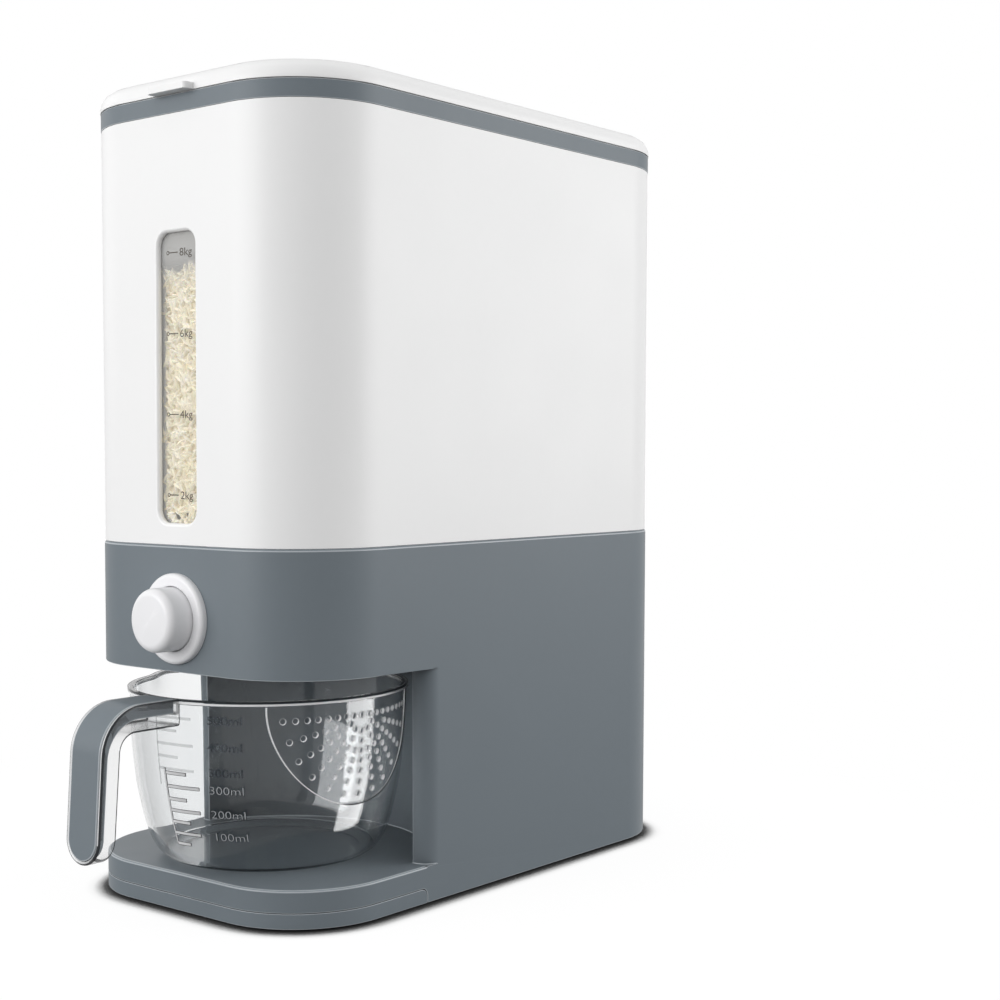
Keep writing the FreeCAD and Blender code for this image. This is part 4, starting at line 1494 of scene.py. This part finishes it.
    def shell(self) -> bpy.types.Object:
        """Bowl without its strainer, as one closed skin from the base's middle, out, up and back in.

        Returns:
            The piece.
        """
        curve = smooth_line(self.side, self.side_steps)
        floor = self.base_z + self.wall
        lip_foot = self.rim_z - self.lip_height
        inner_radius = self.rim_radius - self.wall
        outer = [(AXIS, self.base_z)] + curve[:-1]
        outer += [(self.rim_radius, lip_foot), (self.lip_radius, lip_foot + self.lip_edge),
                  (self.lip_radius, self.rim_z - self.lip_edge),
                  (self.lip_radius - self.lip_edge, self.rim_z)]
        inner = [(inner_radius + self.mouth_edge, self.rim_z), (inner_radius, self.rim_z - self.lip_edge)]
        inner += [(radius - self.wall, z) for radius, z in reversed(curve[:-1]) if z > floor + self.base_edge]
        inner += [(radius, floor + height) for radius, height in self.base_inside]
        bowl = Sketch().turn(outer + inner, self.steps, self.spouted).build("cup_bowl_clear")
        numbered(bowl, 0, 3)
        first_inner = len(outer) * self.steps
        for face in bowl.data.polygons[first_inner:]:
            face.material_index = 2
        return bowl

    def rim_line(self, name: str, low: float, high: float) -> bpy.types.Object:
        """Fine band round the outer side of the rim, on which its finish paints a line of shade or of
        highlight.

        Args:
            name: Name of the piece.
            low: Its lower edge, from the rim's level.
            high: Its upper edge, from there too.

        Returns:
            The piece.
        """
        out, root = (self.lip_radius + depth for depth in self.rim_line_depths)
        low += self.rim_z
        high += self.rim_z
        profile = [(out, low), (out, high), (root, high), (root, low)]
        return Sketch().turn(profile, self.steps, self.spouted).build(name)

    def handle_side(self, layer: float, arm_layer: float, bend: float) -> list[Flat]:
        """Outer side of the handle as (y, z) points, moved inwards by the layers.

        Args:
            layer: How far the upright part is moved.
            arm_layer: How far the arm is moved.
            bend: Radius of the bend between them.

        Returns:
            The side's points.
        """
        start = self.centre_y - self.rim_radius + self.handle_root
        top = self.handle_top - arm_layer
        foot = self.handle_foot + layer
        corners = [(start, top, 0), (foot + self.handle_lean, top, bend), (foot, self.handle_end, 0)]
        return rounded(corners, self.bend_steps)

    def handle(self) -> bpy.types.Object:
        """Clear body of the handle, with the space that the grip takes cut out of it.

        Returns:
            The piece.
        """
        half = self.handle_half
        outer = self.handle_side(0.0, 0.0, self.handle_bend)
        body = self.handle_prism(outer + self.handle_side(*self.handle_layers)[::-1], half, self.handle_end)
        far = self.handle_side(-self.grip_past, -self.grip_past, self.handle_bend + self.grip_past)
        grip = self.handle_prism(far + self.handle_side(*self.grip_layers)[::-1], half - self.grip_border,
                                 self.handle_end + self.grip_border)
        combine(body, grip, Operation.CUT)
        body.name = "cup_handle_clear"
        body.data.materials.clear()
        numbered(body, 0, 3)
        round_edges(body, *self.handle_rounding)
        # rounded edges along the outer side take the painted shade outline, the rest keep the painted
        # highlight
        for face in body.data.polygons:
            outermost = max(self.from_middle(body.data.vertices[index].co / MM) for index in face.vertices)
            if face.material_index == 1 and outermost > half - self.handle_outline:
                face.material_index = 2
        return body

    def from_middle(self, point: Vector) -> float:
        """Distance from the handle's middle line, or from the middle of its round end below that."""
        return math.hypot(point.x, min(0.0, point.z - self.handle_end - self.handle_half))

    def handle_prism(self, outline: Sequence[Flat], half: float, end: float) -> bpy.types.Object:
        """Side outline made solid across the handle and rounded at its lower end.

        Args:
            outline: (y, z) points.
            half: Half its width.
            end: Level of its lower end.

        Returns:
            The solid.
        """
        body = Sketch().extrude(outline, side_view(-half), side_view(half)).build("handle_body")
        top = self.handle_top + self.trim_over
        bend = half - HAIR
        corners = [(-half, end, bend), (half, end, bend), (half, top, 0), (-half, top, 0)]
        front = rounded(corners, self.end_steps)
        near, far = (front_view(y) for y in self.trim_depths)
        return combine(body, Sketch().extrude(front, near, far).build("handle_trim"), Operation.KEEP)

    def strainer_edge(self, angle: float) -> Flat:
        """Point of the strainer's lower edge as (along, level), from 0 at one end to pi at the other.

        Args:
            angle: The angle.

        Returns:
            The point.
        """
        top = self.rim_z - self.lip_height - self.strainer_under_lip
        depth = top - (self.rim_z - self.strainer_depth)
        along = self.strainer_aside - self.strainer_half_width * math.cos(angle)
        return along, top - depth * math.sin(angle)

    def strainer_bead(self) -> bpy.types.Object:
        """Fine bead along the strainer's lower edge, with a painted highlight on its left part and painted
        shade on the rest.

        Returns:
            The piece.
        """
        depth = self.strainer_edge(0.0)[1] - (self.rim_z - self.strainer_depth)
        sketch = Sketch()
        first_faces = []
        for start, end in ((0, self.bead_highlight_steps), (self.bead_highlight_steps, self.bead_steps)):
            first_faces.append(len(sketch.faces))
            rings = []
            for step in range(start, end + 1):
                angle = math.pi * step / self.bead_steps
                along, z = self.strainer_edge(angle)
                azimuth = math.asin(along / self.radius_at(z))
                outward = heading(azimuth)
                middle = self.place(self.radius_at(z), azimuth, z)
                drop = Vector((0, math.sin(angle) * self.strainer_half_width, -depth * math.cos(angle)))
                aside = outward.cross(drop.normalized())
                rings.append(loop(middle, outward, aside, self.bead, self.bead_sides))
            sketch.rings(rings)
        bead = numbered(sketch.build("cup_strainer_bead"), 0)
        # the rest of the bead takes the painted shade
        for face in bead.data.polygons[first_faces[1]:]:
            face.material_index = 1
        bead.data.shade_smooth()
        return bead

    def strainer_cutter(self) -> bpy.types.Object:
        """Solid that sinks the strainer's field below the bowl's side.

        Returns:
            The solid.
        """
        foot = self.rim_z - self.strainer_depth
        over = self.rim_z + self.core_over
        angles = [math.pi * step / self.edge_steps for step in range(self.edge_steps + 1)]
        outline = [(self.centre_y + along, z) for along, z in map(self.strainer_edge, angles)]
        near, far = (side_view(x) for x in self.prism_reach)
        prism = Sketch().extrude(outline, near, far).build("strainer_prism")
        profile = [(AXIS, foot - self.core_floor)]
        profile += [(radius - self.strainer_recess, z) for radius, z in smooth_line(self.side, self.side_steps)
                    if z > foot - self.core_side]
        profile += [(self.rim_radius - self.strainer_recess, over), (AXIS, over)]
        core = Sketch().turn(profile, self.steps, self.place).build("strainer_core")
        return combine(numbered(prism, 1), numbered(core, 0), Operation.CUT)

    def hole_cutter(self) -> bpy.types.Object:
        """Pins that pierce the strainer: a row under the rim, and rays from the row's middle.

        Returns:
            The pins as one object.
        """
        row_z = self.rim_z - self.row_drop
        middle_hole = (self.row_count - 1) / 2
        places = [((index - middle_hole) * self.row_pitch, row_z) for index in range(self.row_count)]
        for number, degrees in enumerate(range(-self.last_ray, self.last_ray + 1, self.ray_angle)):
            radii = self.ray_radii if number % 2 else self.ray_radii[self.short_ray_skip:]
            angle = math.radians(degrees)
            places += [(radius * math.sin(angle), row_z - radius * math.cos(angle)) for radius in radii]
        # distances out of the strainer's field, and the radius there
        pin = tuple(zip((-5.0, -0.5, 0.0, 3.0), (self.hole_radius,) * 2 + (self.hole_mouth,) * 2))
        up = Vector((0, 0, 1))
        sketch = Sketch()
        for across, z in places:
            outward = heading(math.asin((across + self.strainer_aside) / self.rim_radius))
            along = Vector((-outward.y, outward.x, 0))
            middle = Vector((0, self.centre_y, z))
            surface = self.radius_at(z) - self.strainer_recess
            sketch.rings([loop(middle + outward * (surface + out), along, up, girth, self.hole_sides)
                          for out, girth in pin])
        return sketch.build("strainer_pins")

    def comb(self, name: str, grow: float, out: float, near: bool) -> bpy.types.Object:
        """Comb of ticks beside the figures.

        Args:
            name: Name of the piece.
            grow: How far the outlines are moved outwards.
            out: How far it stands out of the wall.
            near: Whether this is the plainly seen comb or the faint one.

        Returns:
            The piece.
        """
        sketch = Sketch()
        for start, end, z in (self.near_ticks if near else self.far_ticks):
            self.add_bar(sketch, (start - grow, z), (end + grow, z), self.tick_half + grow, out)
        along, low, top_along, high = self.near_spine if near else self.far_spine
        self.add_bar(sketch, (along, low - grow), (top_along, high + grow), self.spine_half + grow,
                     out - self.spine_sunk)
        return sketch.build(name)

    def figures(self, name: str, grow: float, out: float, near: bool) -> bpy.types.Object:
        """Raised figures, as a comb is made.

        Args:
            name: Name of the piece.
            grow: How far the outlines are moved outwards.
            out: How far they stand out of the wall.
            near: Whether these are the plainly seen figures or the faint ones.

        Returns:
            The piece.
        """
        raised = None
        for text, z, is_near in self.labels:
            if is_near == near:
                words = lettering(text, self.label_height, 1.0, grow / self.label_stretch)
                for vertex in words.data.vertices:
                    u = vertex.co.x / MM * self.label_stretch
                    v = vertex.co.y / MM
                    depth = out if vertex.co.z > 0 else self.mark_root
                    vertex.co = self.on_wall(self.label_azimuth, u, z - self.label_height / 2 + v, depth) * MM
                raised = words if raised is None else merged(raised, words)
        raised.name = name
        return raised

    def add_bar(self, sketch: Sketch, start: Flat, end: Flat, half: float, out: float) -> None:
        """Add a bar that follows the wall between two (along, level) points.

        Args:
            sketch: The sketch that takes it.
            start: One end.
            end: The other end.
            half: Half its width.
            out: How far it stands out of the wall.
        """
        steps = 12
        root = self.mark_root
        first = Vector(start)
        last = Vector(end)
        side = (last - first).orthogonal().normalized() * half
        rings = []
        for step in range(steps + 1):
            middle = first.lerp(last, step / steps)
            ring = [(middle - side, root), (middle + side, root), (middle + side, out), (middle - side, out)]
            rings.append([self.on_wall(self.label_azimuth, place.x, place.y, depth) for place, depth in ring])
        sketch.rings(rings)


# ---------------------------------------------------------------- studio


@dataclass(frozen=True)
class Softbox:
    """Rectangular lamp: azimuth from +X and elevation in degrees, size in metres, power in watts."""

    name: str
    azimuth: float
    elevation: float
    width: float
    height: float
    power: float

    def build(self, middle: Vector, distance: float) -> bpy.types.Object:
        """Stand the lamp at a distance from a middle point, which it shines at.

        Args:
            middle: The middle point, in metres.
            distance: The distance, in metres.

        Returns:
            The lamp.
        """
        data = bpy.data.lights.new(self.name, "AREA")
        data.shape = "RECTANGLE"
        data.size = self.width
        data.size_y = self.height
        data.energy = self.power
        towards = heading(math.radians(self.azimuth), math.radians(self.elevation))
        lamp = in_scene(self.name, data)
        lamp.visible_camera = False
        lamp.location = middle + towards * distance
        lamp.rotation_euler = towards.to_track_quat("Z", "Y").to_euler()
        return lamp


@dataclass
class Studio:
    """Pale floor, soft lamps, white surroundings and the camera."""

    camera_place: Point = (644.6, -678.2, 231.2)
    camera_right: Point = (0.7789, 0.6272, 0.0)
    camera_up: Point = (-0.0177, 0.0220, 0.9996)
    camera_lens: float = 59.59
    sensor: float = 36.0
    fill: float = 0.86
    # light beside and behind the object, for gloss, for clear plastic and for the camera
    gloss_light: Flat = (0.10, 1.0)
    clear_light: Flat = (0.50, 1.0)
    camera_light: Flat = (1.0, 1.0)
    backdrop: Point = (-0.627, 0.779, 0.0)
    backdrop_edge: Flat = (0.35, 0.88)
    floor_reach: float = 3000.0
    floor_colour: float = 0.26
    # share of its colour that the floor shows to the camera near the object
    floor_shown: float = 0.3
    floor_glow: float = 0.93
    # occlusion shares and reach of the contact shadow painted into the floor's glow
    contact_shadow_share: Flat = (0.62, 0.90)
    contact_shadow_reach: float = 13.0
    floor_fade: Flat = (250.0, 420.0)
    lamps: tuple[Softbox, ...] = (
        Softbox("front_left_softbox", -114.0, 13.0, 1.7, 1.4, 30.5),
        Softbox("right_rear_softbox", 42.0, 13.0, 1.7, 1.4, 27.0),
        Softbox("left_softbox", -165.0, 20.0, 1.5, 1.5, 4.5))
    lamp_middle: Point = (0.0, 0.0, 200.0)
    lamp_distance: float = 2.4
    strip: Softbox = Softbox("low_strip_light", 47.0, 0.0, 0.50, 0.80, 7.5)
    strip_middle: Point = (70.0, -76.0, -400.0)
    strip_distance: float = 0.6

    def build(self) -> None:
        """Build everything that isn't part of the object."""
        self.world()
        self.floor()
        for lamp in self.lamps:
            lamp.build(Vector(self.lamp_middle) * MM, self.lamp_distance)
        self.low_strip()
        self.camera()
        bpy.context.scene.view_settings.view_transform = "Standard"

    def world(self) -> None:
        """White backdrop for the camera, gloss and clear plastic, dark sides, and a fill for the rest."""
        world = bpy.data.worlds.new("studio")
        bpy.context.scene.world = world
        world.use_nodes = True
        made = NodeSketch(world.node_tree)
        place = made.node("TexCoord").outputs["Generated"]
        ends = {0: place, 1: self.backdrop}
        towards = made.node("VectorMath", ends, operation="DOT_PRODUCT").outputs["Value"]
        path = made.node("LightPath").outputs
        strength = self.fill
        for kind, light in (("Is Glossy Ray", self.gloss_light), ("Is Transmission Ray", self.clear_light),
                            ("Is Camera Ray", self.camera_light)):
            seen = made.spread(towards, self.backdrop_edge, light)
            strength = made.node("Mix", {"Factor": path[kind], "A": strength, "B": seen}).outputs["Result"]
        background = world.node_tree.nodes["Background"]
        made.give(background.inputs["Strength"], strength)
        made.give(background.inputs["Color"], WHITE)

    def floor(self) -> None:
        """Pale floor that keeps the object's real shadow near it, with a contact shadow painted into its glow,
        and fades into the white around.
        """
        reach = self.floor_reach
        corners = [(-reach, -reach, 0), (reach, -reach, 0), (reach, reach, 0), (-reach, reach, 0)]
        floor = Sketch().add(corners, [(0, 1, 2, 3)]).build("floor")
        made = MaterialSketch("pale_floor")
        place = made.node("TexCoord").outputs["Object"]
        distance = made.node("VectorMath", {0: place}, operation="LENGTH").outputs["Value"]
        fade = made.spread(distance, [end * MM for end in self.floor_fade], curve="SMOOTHSTEP")
        path = made.node("LightPath").outputs
        seen = made.maths("MAXIMUM", path["Is Camera Ray"], path["Is Transmission Ray"])
        away = made.maths("MULTIPLY", made.spread(fade, after=(1.0 - self.floor_shown, 1.0)), seen)
        # painted contact shadow: the glow is darkened where ambient occlusion finds the object close by
        close = {"Distance": self.contact_shadow_reach * MM}
        contact = made.node("AmbientOcclusion", close, samples=8).outputs["AO"]
        near = made.spread(contact, self.contact_shadow_share, (0.0, self.floor_glow))
        made.feed(Base_Color=made.blend(away, (self.floor_colour,) * 3, (0.0, 0.0, 0.0)), Roughness=0.8,
                  Specular_IOR_Level=0.0, Emission_Color=WHITE,
                  Emission_Strength=made.maths("MULTIPLY", made.spread(fade, after=(near, 1.0)), seen))
        floor.data.materials.append(made.material)
        floor.visible_glossy = False
        floor.visible_transmission = False

    def low_strip(self) -> None:
        """Panel under the floor's level, which lights the clear bowl alone and shows in its reflections."""
        lamp = self.strip.build(Vector(self.strip_middle) * MM, self.strip_distance)
        lit = bpy.data.collections.new("lit_by_low_strip")
        lit.objects.link(bpy.data.objects["cup_bowl_clear"])
        lamp.light_linking.receiver_collection = lit

    def camera(self) -> None:
        """Add the camera."""
        data = bpy.data.cameras.new("camera")
        data.lens = self.camera_lens
        data.sensor_width = self.sensor
        camera = in_scene("camera", data)
        right = Vector(self.camera_right)
        up = Vector(self.camera_up)
        turn = Matrix((right, up, right.cross(up))).transposed().to_4x4()
        camera.matrix_world = Matrix.Translation(Vector(self.camera_place) * MM) @ turn
        bpy.context.scene.camera = camera


def main() -> None:
    """Build the sub-assemblies in order."""
    logging.basicConfig(level=logging.INFO, format="%(name)s %(message)s")
    finishes = Finishes()
    for part in (Housing(finishes), Window(finishes), Button(finishes), Cup(finishes), Studio()):
        part.build()
    bpy.context.view_layer.update()


if __name__ == "__main__":
    main()
